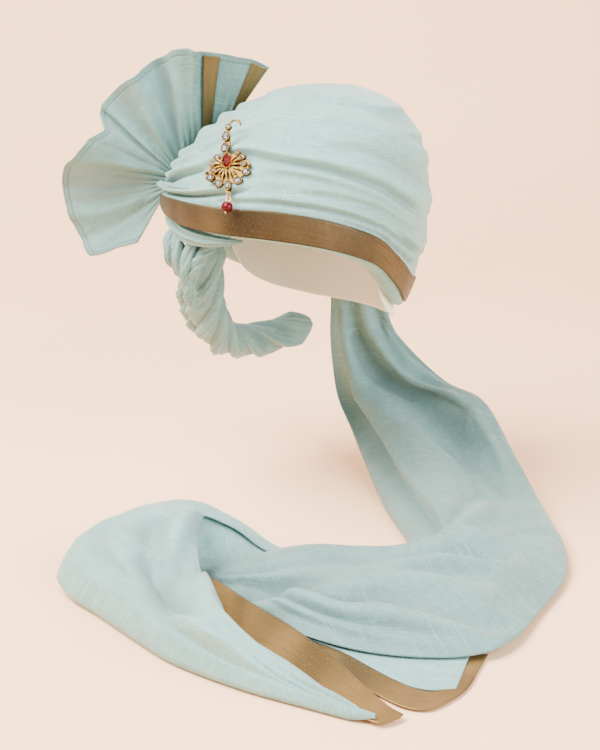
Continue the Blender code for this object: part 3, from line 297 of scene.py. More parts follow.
def unit(vectors):
    return vectors / np.maximum(np.linalg.norm(vectors, axis=-1, keepdims=True), 1e-9)


def grid_normals(points):
    """Directions across a grid of points, from its neighbours."""
    return unit(np.cross(np.gradient(points, axis=0), np.gradient(points, axis=1)))


def rough(points, scale, seed, detail=3):
    """Smooth hollows and rises, -1 to 1, over a grid of points."""
    flat = points.reshape(-1, 3) * scale + seed
    values = [noise.fractal(Vector(spot), 0.9, 2.1, detail) for spot in flat]
    return np.array(values).reshape(points.shape[:-1])


def crisp(points, scale, seed):
    """Thin ridges between soft hollows, as pressed silk creases, 0 to 1."""
    flat = points.reshape(-1, 3) * scale + seed
    values = [1 - min(1.0, 3.2 * abs(noise.noise(Vector(spot)))) for spot in flat]
    return np.array(values).reshape(points.shape[:-1]) ** 2


# Mesh makers

def deselect():
    for chosen in list(bpy.context.selected_objects):
        chosen.select_set(False)


def lay_uv(mesh, uv):
    """Cloth coordinates in metres, one for each point."""
    layer = mesh.uv_layers.new(name="cloth")
    corners = np.empty(len(mesh.loops), np.int32)
    mesh.loops.foreach_get("vertex_index", corners)
    layer.data.foreach_set("uv", uv[corners].astype(np.float32).ravel())


def link_piece(name, mesh, look):
    mesh.shade_smooth()
    mesh.materials.append(look)
    made = bpy.data.objects.new(name, mesh)
    bpy.context.scene.collection.objects.link(made)
    return made


def grid_faces(columns, rows, wrap):
    faces = []
    for column in range(columns if wrap else columns - 1):
        ahead = (column + 1) % columns
        for row in range(rows - 1):
            near, far = column * rows + row, ahead * rows + row
            faces.append((near, near + 1, far + 1, far))
    return faces


def lay_relief(mesh, relief):
    """Stores how far each point stands out of the smooth cloth, -1 to 1, for the painted shade in its creases
    and painted highlight on its ridges.
    """
    layer = mesh.attributes.new("relief", "FLOAT", "POINT")
    layer.data.foreach_set("value", np.asarray(relief, np.float32).ravel())


def cloth_sheet(name, points, uv, wall, look, relief=None):
    """A sheet over a grid of points, with its wall and its cloth coordinates."""
    columns, rows = points.shape[:2]
    mesh = bpy.data.meshes.new(name)
    mesh.from_pydata(points.reshape(-1, 3).tolist(), [], grid_faces(columns, rows, False))
    lay_uv(mesh, uv.reshape(-1, 2))
    if relief is not None:
        lay_relief(mesh, relief)
    made = link_piece(name, mesh, look)
    solid = made.modifiers.new("wall", "SOLIDIFY")
    solid.thickness = wall
    solid.offset = 0.0
    solid.use_even_offset = False
    apply_all(made)
    return made


def cloth_ball(name, points, uv, look, ends, relief=None):
    """A closed form: rings of points, wrapped round, with one point at each end."""
    columns, rows = points.shape[:2]
    everything = points.reshape(-1, 3).tolist() + [list(ends[0]), list(ends[1])]
    faces = grid_faces(columns, rows, True)
    first_end = columns * rows
    for column in range(columns):
        ahead = (column + 1) % columns
        faces.append((column * rows, ahead * rows, first_end))
        faces.append((ahead * rows + rows - 1, column * rows + rows - 1, first_end + 1))
    mesh = bpy.data.meshes.new(name)
    mesh.from_pydata(everything, [], faces)
    bm = bmesh.new()
    bm.from_mesh(mesh)
    bmesh.ops.recalc_face_normals(bm, faces=bm.faces)
    if bm.calc_volume(signed=True) < 0:
        bmesh.ops.reverse_faces(bm, faces=bm.faces)
    bm.to_mesh(mesh)
    bm.free()
    flat = uv.reshape(-1, 2)
    lay_uv(mesh, np.vstack([flat, uv[:, 0].mean(axis=0), uv[:, -1].mean(axis=0)]))
    seam_uv(mesh)
    if relief is not None:
        lay_relief(mesh, np.append(np.ravel(relief), (0.0, 0.0)))
    return link_piece(name, mesh, look)


def seam_uv(mesh):
    """Where a ring closes, the last faces carry on the cloth coordinate instead of running back."""
    layer = mesh.uv_layers["cloth"]
    loops = len(mesh.loops)
    uv = np.empty(loops * 2, np.float32)
    layer.data.foreach_get("uv", uv)
    uv = uv.reshape(-1, 2)
    starts = np.empty(len(mesh.polygons), np.int32)
    totals = np.empty(len(mesh.polygons), np.int32)
    mesh.polygons.foreach_get("loop_start", starts)
    mesh.polygons.foreach_get("loop_total", totals)
    length = uv[:, 0].max()
    for start, total in zip(starts, totals):
        part = uv[start:start + total, 0]
        if part.max() - part.min() > 0.5 * length:
            part[part < 0.5 * length] += length
    layer.data.foreach_set("uv", uv.ravel())


def apply_all(made):
    deselect()
    made.select_set(True)
    bpy.context.view_layer.objects.active = made
    for modifier in list(made.modifiers):
        bpy.ops.object.modifier_apply(modifier=modifier.name)
    made.select_set(False)


def seat(made, node):
    """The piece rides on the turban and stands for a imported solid."""
    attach(made, "root")
    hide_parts(node)


def arc_lengths(points, axis):
    steps = np.linalg.norm(np.diff(points, axis=axis), axis=-1)
    start = np.zeros_like(np.take(steps, [0], axis=axis))
    return np.concatenate([start, np.cumsum(steps, axis=axis)], axis=axis)


def laid_flat(points):
    """Width and length of a sheet laid flat, from its area and its longest run."""
    length = float(arc_lengths(points, 1)[:, -1].max())
    return grid_area(points) / length, length


def cloth_lengths(points):
    """Cloth coordinates of an open grid: lengths along its middle row and column."""
    columns, rows = points.shape[:2]
    across = arc_lengths(points, 0)[:, rows // 2]
    down = arc_lengths(points, 1)[columns // 2]
    return spots(across[:, None], down[None, :], 0.0)[..., :2]


def rope_frames(route, count):
    route = np.array(route)
    shares = np.linspace(0, 1, len(route))
    at = np.linspace(0, 1, count + 1)
    points = np.stack([course(shares, route[:, axis], at) for axis in range(3)], axis=-1)
    tangents = np.empty_like(points)
    tangents[1:-1] = points[2:] - points[:-2]
    tangents[0] = points[1] - points[0]
    tangents[-1] = points[-1] - points[-2]
    tangents = unit(tangents)
    side = unit(np.cross(tangents[0], (0, 1, 0)))
    sides = []
    for tangent in tangents:
        side = unit(side - tangent * side.dot(tangent))
        sides.append(side)
    return points, tangents, np.array(sides)


def rope(name, route, radius, look, columns, stations, ridges, ridge, turns, flat=1.0, fine=0.0, seed=0.0):
    """A rolled or twisted length of cloth: rounded strands, sharp valleys and small folds."""
    points, tangents, sides = rope_frames(route, stations)
    lengths = np.concatenate([[0.0], np.cumsum(np.linalg.norm(np.diff(points, axis=0), axis=1))])
    share = lengths / lengths[-1]
    turn = np.linspace(0, math.tau, columns, endpoint=False)
    twist = turn[:, None] - turns * math.tau * share[None, :]
    phase = (ridges * twist / math.tau + 0.10 * np.sin(7 * share[None, :] + seed)) % 1.0
    lapped = np.clip(phase / 0.72, 0, 1) ** 0.8 * np.clip((1 - phase) / 0.16, 0, 1) ** 0.6
    swing = 1.5 * np.sin(8 * share[None, :] + seed)
    small = 2 * np.abs(np.sin(math.pi * 3 * phase + swing + seed)) ** 0.6 - 1
    uneven = 0.05 * np.sin(13 * share[None, :] + 3 * np.sin(twist + seed))
    middle = 4 * (share * (1 - share))[None, :]
    reach = radius(share)[None, :] * (1 - ridge * (1 - lapped) + fine * small * lapped + uneven * middle)
    ups = np.cross(tangents, sides)
    grid = (
        points[None]
        + sides[None] * (np.cos(turn)[:, None] * reach)[..., None]
        + ups[None] * (np.sin(turn)[:, None] * reach * flat)[..., None]
    )
    inner = grid[:, 1:-1]
    body = 2 * math.pi * float(radius(np.array([0.5]))[0])
    uv = spots((twist[:, 1:-1] - twist.min()) / math.tau * body, lengths[None, 1:-1], 0.0)[..., :2]
    # Relief that the cloth material turns into painted shade between the wraps and painted highlight on them.
    relief = 2.4 * (lapped[:, 1:-1] - 0.58) + 0.35 * small[:, 1:-1] * lapped[:, 1:-1]
    return cloth_ball(name, inner, uv, look, (points[0], points[-1]), relief)


# Materials

class Value:
    """A node socket that takes part in sums."""

    def __init__(self, look, socket):
        self.look = look
        self.socket = socket

    def sum(self, operation, other, swap=False):
        values = (other, self) if swap else (self, other)
        return self.look.node("ShaderNodeMath", {"operation": operation}, {0: values[0], 1: values[1]})

    def __add__(self, other):
        return self.sum("ADD", other)

    def __radd__(self, other):
        return self.sum("ADD", other, swap=True)

    def __sub__(self, other):
        return self.sum("SUBTRACT", other)

    def __rsub__(self, other):
        return self.sum("SUBTRACT", other, swap=True)

    def __mul__(self, other):
        return self.sum("MULTIPLY", other)

    def __abs__(self):
        return self.look.node("ShaderNodeMath", {"operation": "ABSOLUTE"}, {0: self})


class Look:
    """A material under construction."""

    def __init__(self, name):
        self.material = bpy.data.materials.new(name)
        self.material.use_nodes = True
        self.tree = self.material.node_tree
        self.shader = self.tree.nodes["Principled BSDF"]

    def node(self, kind, settings=None, inputs=None, out=0):
        made = self.tree.nodes.new(kind)
        for key, value in (settings or {}).items():
            setattr(made, key, value)
        for key, value in (inputs or {}).items():
            self.feed(made.inputs[key], value)
        return Value(self, made.outputs[out])

    def feed(self, socket, value):
        if isinstance(value, Value):
            self.tree.links.new(value.socket, socket)
        else:
            socket.default_value = value

    def plain(self, **values):
        for key, value in values.items():
            self.feed(self.shader.inputs[key.replace("_", " ")], value)

    def cloth_place(self, across, down, shift=0.0):
        """Cloth coordinates, stretched: cells per metre across and down."""
        uv = self.node("ShaderNodeTexCoord", out=2)
        return self.node("ShaderNodeMapping", {}, {"Vector": uv, "Location": (shift, shift, 0.0),
                                                   "Scale": (across, down, 1.0)})

    def solid_place(self):
        """The piece's own coordinates, in metres."""
        return self.node("ShaderNodeTexCoord", out=3)

    def clouds(self, place, scale=1.0, detail=3.0, roughness=0.55, distortion=0.0):
        return self.node("ShaderNodeTexNoise", {}, {"Vector": place, "Scale": scale, "Detail": detail,
                                                    "Roughness": roughness, "Distortion": distortion})

    def limits(self, value, low, high):
        return self.node("ShaderNodeMapRange", {"interpolation_type": "SMOOTHSTEP"},
                         {"Value": value, "From Min": low, "From Max": high})

    def blend(self, share, first, second):
        made = self.tree.nodes.new("ShaderNodeMix")
        made.data_type = "RGBA"
        self.feed(made.inputs["Factor"], share)
        for socket, value in ((made.inputs[6], first), (made.inputs[7], second)):
            self.feed(socket, value if isinstance(value, Value) else (*value, 1.0))
        return Value(self, made.outputs[2])

    def bump(self, height, distance, strength=1.0, under=None):
        inputs = {"Height": height, "Distance": distance, "Strength": strength}
        if under:
            inputs["Normal"] = under
        return self.node("ShaderNodeBump", {}, inputs)


def shade(colour, share):
    return tuple(min(1.0, channel * share) for channel in colour)


def split_uv(look):
    uv = look.node("ShaderNodeTexCoord", out=2)
    separate = look.tree.nodes.new("ShaderNodeSeparateXYZ")
    look.feed(separate.inputs[0], uv)
    return Value(look, separate.outputs[0]), Value(look, separate.outputs[1])


STITCH_PITCH = 0.0032


def silk_cotton(name, sizes, hem=None, hem_width=0.0065, tone=1.0):
    """Mint silk cotton: uneven slubs both ways, soft sheen, clouded dye, painted shade in its creases, and
    rows of hem stitches.

    hem is (coordinate, length): the hem runs where the cloth coordinate down comes near that length.
    """
    look = Look(name)
    # tone below 1 is painted shade: a darker copy of the same mint cloth for a piece that lies in shade.
    base = shade(tuple(sizes.mint), tone)
    slub = look.clouds(look.cloth_place(70, 900), detail=2.0)
    cross_slub = look.clouds(look.cloth_place(900, 70, 7.0), detail=2.0)
    long_slub = look.limits(look.clouds(look.cloth_place(22, 620, 3.0), detail=1.0), 0.60, 0.70)
    threads = look.clouds(look.cloth_place(900, 2600, 1.0), detail=1.0)
    clouding = look.clouds(look.solid_place(), scale=14.0, detail=4.0, distortion=0.6)
    patches = look.limits(look.clouds(look.solid_place(), scale=48.0, detail=3.0, distortion=0.8), 0.40, 0.62)
    creases = look.clouds(look.solid_place(), scale=34.0, detail=5.0, roughness=0.6, distortion=1.2)
    wander = look.clouds(look.cloth_place(250, 170, 11.0), detail=2.0, distortion=1.6)
    strokes = (1 - look.limits(abs(wander - 0.5), 0.006, 0.030)) * (0.25 + patches * 0.75)
    colour = look.blend(look.limits(clouding, 0.30, 0.72), shade(base, 0.84), shade(base, 1.08))
    colour = look.blend(look.limits(slub, 0.45, 0.72) * 0.60, colour, shade(base, 0.66))
    colour = look.blend(look.limits(cross_slub, 0.48, 0.74) * 0.48, colour, shade(base, 1.42))
    colour = look.blend(long_slub * 0.60, colour, shade(base, 1.55))
    colour = look.blend(strokes * 0.55, colour, shade(base, 1.55))
    # Painted shade: the crease shade colour laid over the cloth where the crease noise is high.
    colour = look.blend(look.limits(creases, 0.58, 0.82) * 0.20, colour, tuple(sizes.crease_shade))
    # Painted shade in the fold valleys and painted highlight on the ridges, from each piece's relief
    # attribute.
    relief = look.node("ShaderNodeAttribute", {"attribute_name": "relief"}, out=2)
    colour = look.blend(look.limits(0 - relief, 0.05, 1.0) * 0.55, colour, shade(tuple(sizes.crease_shade), 0.80))
    colour = look.blend(look.limits(relief, 0.10, 1.2) * 0.30, colour, shade(base, 1.35))
    height = slub * 0.35 + cross_slub * 0.30 + threads * 0.20 + long_slub * 0.35 + strokes * 0.45
    if hem:
        coordinates = split_uv(look)
        away = abs(coordinates[hem[0]] - hem[1])
        double = 1 - look.limits(away, hem_width - 0.0006, hem_width)
        ridge = 1 - look.limits(abs(away - hem_width), 0.0, 0.0009)
        colour = look.blend(double * 0.42, colour, shade(base, 0.72))
        height = height + double * 0.9 - ridge * 0.9
        for row in (0.22, 0.80):
            off = abs(away - hem_width * row)
            run = coordinates[1 - hem[0]]
            dash = look.node("ShaderNodeMath", {"operation": "SINE"}, {0: run * (math.tau / STITCH_PITCH)})
            stitch = (1 - look.limits(off, 0.0002, 0.0006)) * look.limits(dash, -0.4, 0.2)
            colour = look.blend(stitch * 0.75, colour, shade(base, 0.50))
            height = height - stitch * 1.2
    soft = look.bump(creases, 0.0040, 0.30)
    soft = look.bump(wander, 0.0012, 0.35, soft)
    look.plain(Base_Color=colour, Roughness=0.50 + slub * 0.18 - strokes * 0.10,
               Normal=look.bump(height, 0.00055, 0.7, soft),
               Sheen_Weight=sizes.sheen, Sheen_Roughness=0.35, Specular_IOR_Level=0.32)
    look.shader.inputs["Sheen Tint"].default_value = (0.92, 0.97, 0.95, 1.0)
    return look.material


def gold_weave(name, sizes, width, tone=1.0, paler=1.0):
    """Metallic thread border: close cross threads, streaks along it, a bound thread at each edge, and painted
    sheen.

    tone below 1 darkens the whole weave, as painted shade, and above 1 lightens it, as painted light. paler
    brings its gold nearer to white.
    """
    look = Look(name)
    base = shade((sizes.gold[0], sizes.gold[1] * paler ** 0.3, sizes.gold[2] * paler), tone)
    down = split_uv(look)[1]
    threads = look.clouds(look.cloth_place(1900, 240), detail=2.0)
    streaks = look.clouds(look.cloth_place(34, 420, 2.0), detail=3.0, distortion=0.4)
    satin_and_painted_sheen = look.clouds(look.cloth_place(15, 4, 5.0), detail=2.0, distortion=0.3)
    ribs = look.clouds(look.cloth_place(900, 40, 9.0), detail=1.0)
    edge = abs(down - width / 2)
    bound = look.limits(edge, width / 2 - 0.0013, width / 2 - 0.0009)
    # Painted sheen: broad lighter and darker zones along the border.
    colour = look.blend(look.limits(satin_and_painted_sheen, 0.34, 0.66), shade(base, 0.60), shade(base, 1.50))
    colour = look.blend(look.limits(streaks, 0.45, 0.75) * 0.45, colour, shade(base, 0.52))
    colour = look.blend(look.limits(threads, 0.50, 0.68) * 0.55, colour, shade(base, 1.80))
    colour = look.blend(bound * 0.18, colour, shade(base, 0.60))
    height = threads * 0.5 + streaks * 0.3 + ribs * 0.35 + bound * 0.8
    look.plain(Base_Color=colour, Metallic=0.55 + satin_and_painted_sheen * 0.25, Roughness=0.36 + streaks * 0.22,
               Normal=look.bump(height, 0.00045, 0.7, look.bump(satin_and_painted_sheen, 0.0050, 0.55)),
               Sheen_Weight=0.03, Sheen_Roughness=0.4, Specular_IOR_Level=0.3)
    return look.material


def plain_cotton(name, sizes):
    """Pale cotton of the lining, plain woven, a little rubbed in patches."""
    look = Look(name)
    base = tuple(sizes.lining)
    warp = look.clouds(look.cloth_place(1400, 90), detail=2.0)
    weft = look.clouds(look.cloth_place(90, 1400, 4.0), detail=2.0)
    rubbed = look.limits(look.clouds(look.solid_place(), scale=26.0, detail=4.0), 0.45, 0.75)
    colour = look.blend(warp * 0.3, base, shade(base, 0.80))
    colour = look.blend(rubbed * 0.25, colour, shade(base, 0.86))
    look.plain(Base_Color=colour, Roughness=0.82 + weft * 0.1,
               Normal=look.bump(warp * 0.5 + weft * 0.5, 0.0004, 0.5),
               Sheen_Weight=0.2, Sheen_Roughness=0.5, Specular_IOR_Level=0.25)
    return look.material


def cast_gold(name, sizes, tone=1.0):
    """Polished cast gold plate with a fine grain and spots of darker tarnish; tone below 1 darkens it all, as
    painted shade.
    """
    look = Look(name)
    base = shade(tuple(sizes.metal), tone)
    grain = look.clouds(look.solid_place(), scale=900.0, detail=3.0)
    tarnish = look.limits(look.clouds(look.solid_place(), scale=260.0, detail=4.0), 0.48, 0.70)
    colour = look.blend(tarnish * 0.55, base, shade(base, 0.45))
    look.plain(Base_Color=colour, Metallic=1.0, Roughness=0.24 + tarnish * 0.22 + grain * 0.08,
               Normal=look.bump(grain, 0.00012, 0.5))
    return look.material


def cut_glass(name, colour, deep, roughness=0.12, cut=620.0, coat=0.15, specular=0.18):
    """Foil-backed cut stone with painted glints: bright colour in random cells, as facets that catch the
    foil, deep colour between.
    """
    look = Look(name)
    glint_noise = look.clouds(look.solid_place(), scale=cut, detail=1.0)
    # Painted glints: the bright colour where the noise is high, standing for facets that reflect light.
    painted_glint = look.limits(glint_noise, 0.42, 0.60)
    look.plain(Base_Color=look.blend(painted_glint, deep, colour), Roughness=roughness + painted_glint * 0.05,
               Coat_Weight=coat, Coat_Roughness=0.03, Specular_IOR_Level=specular)
    return look.material


# Crown

CROWN_FINE = 320
DOME_FINE = 120

# Folds of the wound cloth, each a line of places: azimuths (degrees) and places down the dome, its rise,
# its drop below, as shares of FOLD_LIFT, and its width as a share of the way down. A low edge is sharp, a
# high one soft.
CROWN_FOLDS = (
    {"at": (-75, -51, -34, -11, 4, 20, 38, 61, 80), "down": (0.84, 0.76, 0.69, 0.725, 0.734, 0.741, 0.741,
                                                             0.708, 0.66),
     "rise": 0.75, "drop": 0.80, "wide": 0.030},
    {"at": (-20, 0, 20, 45, 66, 85), "down": (0.80, 0.80, 0.81, 0.80, 0.765, 0.72), "rise": 0.45,
     "drop": 0.40,
     "wide": 0.030},
    {"at": (-2, 15, 35, 64, 84), "down": (0.88, 0.86, 0.85, 0.807, 0.76), "rise": 0.45, "drop": 0.60,
     "wide": 0.024},
    {"at": (-36, -17, -1, 16, 35, 60, 80), "down": (0.955, 0.945, 0.94, 0.935, 0.93, 0.887, 0.84),
     "rise": 0.45,
     "drop": 0.65, "wide": 0.018},
    {"at": (15, 30, 52, 75, 95), "down": (0.975, 0.975, 0.955, 0.915, 0.88), "rise": 0.5, "drop": 0.70,
     "wide": 0.014},
    {"at": (-30, -17, 8, 35, 71, 90), "down": (0.52, 0.50, 0.462, 0.482, 0.495, 0.50), "rise": 0.32,
     "drop": 0.30,
     "wide": 0.050},
    {"at": (4, 26, 50, 72, 92), "down": (0.615, 0.59, 0.568, 0.575, 0.60), "rise": 0.42, "drop": 0.42,
     "wide": 0.036},
    {"at": (-84, -66, -50, -37, -22), "down": (0.93, 0.945, 0.935, 0.914, 0.89), "rise": 0.95, "drop": 1.0,
     "wide": 0.020},
    {"at": (-90, -82, -77, -66, -50), "down": (0.93, 0.89, 0.855, 0.80, 0.76), "rise": 0.8, "drop": 0.9,
     "wide": 0.026},
    {"at": (-80, -70, -56, -40, -20), "down": (0.80, 0.694, 0.60, 0.53, 0.47), "rise": 0.36, "drop": 0.36,
     "wide": 0.034},
    {"at": (-82, -70, -50, -25), "down": (0.72, 0.56, 0.43, 0.34), "rise": 0.26, "drop": 0.26, "wide": 0.040},
    {"at": (-60, -30, 10, 60, 110), "down": (0.30, 0.27, 0.27, 0.34, 0.40), "rise": 0.2, "drop": 0.2,
     "wide": 0.05},
    {"at": (60, 100, 150, 200), "down": (0.42, 0.46, 0.55, 0.60), "rise": 0.7, "drop": 0.7, "wide": 0.035},
    {"at": (66, 110, 160, 215), "down": (0.70, 0.68, 0.72, 0.80), "rise": 0.8, "drop": 0.9, "wide": 0.030},
    {"at": (75, 120, 170, 230), "down": (0.86, 0.84, 0.88, 0.92), "rise": 0.8, "drop": 0.9, "wide": 0.022},
    {"at": (120, 170, 220, 262), "down": (0.30, 0.38, 0.62, 0.80), "rise": 0.8, "drop": 0.8, "wide": 0.034},
    {"at": (190, 225, 262), "down": (0.55, 0.70, 0.88), "rise": 0.8, "drop": 0.8, "wide": 0.026},
)
KNOT_FOLDS = 9


def fold_profile(off):
    """Across a fold: a soft rise on its upper side and a sharper drop just below it."""
    rise = np.where(off < 0, np.exp(-(off / 1.5) ** 2), np.exp(-(off / 0.35) ** 2))
    return rise, np.exp(-((off - 1.0) / 0.62) ** 2)


def crown_at(azimuth, down):
    """Points of the smooth crown; down is 0 at the top, 1 at the widest level, more below it."""
    azimuth, down = np.broadcast_arrays(np.asarray(azimuth, float), np.asarray(down, float))
    turn = np.radians(azimuth)
    fullness = rim("full", azimuth)
    upper = np.clip(down, 0.0, 1.0)
    height = np.where(upper < 1, np.maximum(np.cos(upper * HALF_PI), 0.0) ** (2 / fullness), 0.0)
    below = np.maximum(down - 1, 0.0) * RIM_TUCK_LENGTH
    radius = np.where(
        down <= 1,
        np.sin(upper * HALF_PI) ** (2 / fullness),
        1 - rim("tuck", azimuth) * (below / RIM_TUCK_LENGTH) ** 2,
    )
    level = height * (WRAP_TOP + WIDEST_DROP) - WIDEST_DROP - below
    half = np.where(np.sin(turn) < 0, CROWN_SIDES[0], CROWN_SIDES[1])
    lean = TOP_LEAN * height * height
    return spots(half * np.sin(turn) * radius + lean, -CROWN_FRONT * np.cos(turn) * radius, level)


def crown_profile(azimuth):
    last = 1 + max(0.0, float(rim("drop", azimuth)) * RIM_DROP - WIDEST_DROP) / RIM_TUCK_LENGTH
    places = np.linspace(0, last, 81)
    points = crown_at(azimuth, places)
    return np.concatenate([[0.0], np.cumsum(np.linalg.norm(np.diff(points, axis=0), axis=1))]), places


def crown_surface(azimuths, above_rim, lift=0.0):
    """Points on the crown and its outward directions, a column for each azimuth, at lengths above the rim."""
    azimuths = np.asarray(azimuths, float)
    above_rim = np.broadcast_to(above_rim, (len(azimuths), np.shape(above_rim)[-1]))
    down = np.empty(above_rim.shape)
    for column, azimuth in enumerate(azimuths):
        lengths, places = crown_profile(azimuth)
        down[column] = np.interp(lengths[-1] - above_rim[column], lengths, places)
    turn = azimuths[:, None]
    point = crown_at(turn, down)
    ahead = crown_at(turn + 1, down) - crown_at(turn - 1, down)
    below = crown_at(turn, down + 0.01) - crown_at(turn, np.maximum(down - 0.01, 0.0))
    outward = unit(np.cross(ahead, below))
    away = spots(np.sin(np.radians(turn)), -np.cos(np.radians(turn)), 0.3)
    facing = np.sum(outward * away, axis=-1, keepdims=True)
    outward = outward * np.where(facing < 0, -1.0, 1.0)
    return point + outward * np.broadcast_to(lift, above_rim.shape)[..., None], outward


def crown_point(azimuth, above_rim, lift=0.0):
    return crown_surface([azimuth], np.array([[above_rim]]), lift)[0][0, 0]


def border_height(azimuth):
    return BORDER_WIDTH * rim("border", azimuth)


def crown_length(azimuth):
    return float(crown_profile(azimuth)[0][-1])


def dome_height(azimuth, down):
    top = crown_length(azimuth)
    border = float(border_height(azimuth))
    away = (azimuth - KNOT_AZIMUTH + 180) % 360 - 180
    draw = KNOT_DRAW * math.exp(-((away / KNOT_SPREAD) ** 2))
    drawn = 1 - (1 - down) * (1 - draw * down)
    return border + (top - border) * (1 - drawn)


def hollow_at(azimuth, level):
    turn = np.radians(azimuth)
    height = np.maximum(0.0, 1 + level / HEAD_DOME)
    radius = np.maximum(0.0, 1 - height ** 2.2) ** 0.46
    return spots(HOLLOW_SIDE * np.sin(turn) * radius, -HOLLOW_FRONT * np.cos(turn) * radius, level)


def rim_underside(azimuth, inward, below):
    outer = crown_point(azimuth, 0.0)
    hollow = hollow_at(azimuth, -float(rim("drop", azimuth)) * RIM_DROP)
    return outer + (hollow - outer) * inward - np.array((0, 0, RIM_LIP + below))


def crown_lift(azimuths, down):
    """How far the wound folds stand out, as shares of depth, over azimuths and places down the dome."""
    tiers = np.interp(down, (0.0, *CROWN_ROWS["down"]), (0.0, *CROWN_ROWS["lift"]))
    away = np.minimum(1.0, np.abs((azimuths[:, None] + 15 + 180) % 360 - 180) / 75) ** 1.5
    lift = tiers[None, :] * rim("step", azimuths)[:, None] * (0.08 + 0.62 * away)
    for fold in CROWN_FOLDS:
        for turn in (-360, 0, 360):
            share = (azimuths + turn - fold["at"][0]) / (fold["at"][-1] - fold["at"][0])
            inside = (share > 0) & (share < 1)
            if not inside.any():
                continue
            line = course(fold["at"], fold["down"], np.clip(azimuths + turn, fold["at"][0], fold["at"][-1]))
            fade = np.where(inside, np.sin(math.pi * np.clip(share, 0, 1)) ** 0.55, 0.0)[:, None]
            rise, drop = fold_profile((down[None, :] - line[:, None]) / fold["wide"])
            lift += fade * (fold["rise"] * rise - fold["drop"] * drop)
    away = (azimuths - KNOT_AZIMUTH + 180) % 360 - 180
    near = np.exp(-((away / 26) ** 2))[:, None]
    bend = 0.35 * np.sin(KNOT_FOLDS * 1.7 * down[None, :] + 0.05 * azimuths[:, None])
    lift += 0.42 * near * np.sin(KNOT_FOLDS * math.tau * down[None, :] + bend * 4)
    lift *= 1 - 0.60 * np.exp(-(((azimuths - 92) / 16) ** 2))[:, None]
    edge = np.clip(down / 0.12, 0, 1) * np.clip((1 - down) / 0.02, 0, 1)
    return lift * edge[None, :]


def crown_piece(sizes):
    azimuths = np.linspace(-180, 180, CROWN_FINE, endpoint=False)
    down = np.linspace(0.012, 1.0, DOME_FINE)
    borders = np.linspace(1.0, 0.0, 10)[1:]
    above = np.empty((CROWN_FINE, DOME_FINE + len(borders)))
    for column, azimuth in enumerate(azimuths):
        above[column, :DOME_FINE] = dome_height(azimuth, down)
        above[column, DOME_FINE:] = float(border_height(azimuth)) * borders
    lift = np.zeros(above.shape)
    lift[:, :DOME_FINE] = crown_lift(azimuths, down)
    points, outward = crown_surface(azimuths, above, lift * sizes.fold_depth)
    dome = points[:, :DOME_FINE]
    small = rough(dome, 24.0, 3.0) * 0.00060 + crisp(dome, 15.0, 9.0) * 0.00050
    edge = np.clip((1 - down) / 0.03, 0, 1)
    points[:, :DOME_FINE] += outward[:, :DOME_FINE] * (small * edge)[..., None]
    drop = -rim("drop", azimuths) * RIM_DROP
    hollow = hollow_at(azimuths, drop)
    outer = points[:, -1]
    lip = []
    for share in (0.12, 0.3, 0.5, 0.7, 0.88):
        bow = math.sin(math.pi * share) ** 0.7
        lip.append(outer + (hollow - outer) * share - np.array((0, 0, RIM_LIP)) * bow)
    inside = []
    base = np.maximum(-HEAD_DOME, HOLLOW_STEP + drop)
    start = np.arcsin(np.clip(1 + base / HEAD_DOME, 0, 1))
    for up in np.linspace(0, 0.985, 22):
        angle = start + (HALF_PI - start) * up
        inside.append(hollow_at(azimuths, -HEAD_DOME * (1 - np.sin(angle))))
    points = np.concatenate([points, np.stack(lip + [hollow] + inside, axis=1)], axis=1)
    lengths = arc_lengths(points, 1)
    around = np.radians(azimuths + 180) * (CROWN_FRONT + CROWN_SIDES[0]) / 2
    uv = spots(around[:, None], lengths, 0.0)[..., :2]
    look = silk_cotton("mint_crown", sizes)
    # Fold lift kept as relief, for painted shade in the fold valleys and painted highlight on the ridges.
    relief = np.zeros(points.shape[:2])
    relief[:, :DOME_FINE] = lift[:, :DOME_FINE] * 1.5
    made = cloth_ball("crown_cloth", points, uv, look, ((TOP_LEAN, 0, WRAP_TOP), (0, 0, 0)), relief)
    seat(made, "crown_wrap")


def border_piece(sizes):
    first = round(CROWN_COLUMNS * BORDER_START)
    start = 360 * first / CROWN_COLUMNS - 180
    end = 360 * (first + CROWN_COLUMNS - 3) / CROWN_COLUMNS - 180
    azimuths = np.linspace(start, end, 340)
    shares = np.linspace(0, 1, 12)
    above = border_height(azimuths)[:, None] * (1 - shares[None, :])
    wave = 0.00022 * np.sin(azimuths * 0.35)[:, None] * np.sin(math.pi * shares)[None, :]
    gathers = np.sin(azimuths * 2.1 + 2 * np.sin(azimuths * 0.31))
    pucker = 0.00018 * gathers[:, None] * (1 - shares[None, :]) ** 2
    lift = BORDER_CLEAR + BORDER_WALL / 2 + wave + pucker
    points = crown_surface(azimuths, above, lift)[0]
    run = arc_lengths(points, 0)[:, -1:]
    uv = spots(run, BORDER_WIDTH * (1 - shares[None, :]) + 0 * run, 0.0)[..., :2]
    # Crown border in a darker copy of the gold weave: painted shade.
    look = gold_weave("gold_border", sizes, BORDER_WIDTH, 0.45, 1.75)
    made = cloth_sheet("border_cloth", points, uv, 0.8 * BORDER_WALL, look)
    seat(made, "front_border")


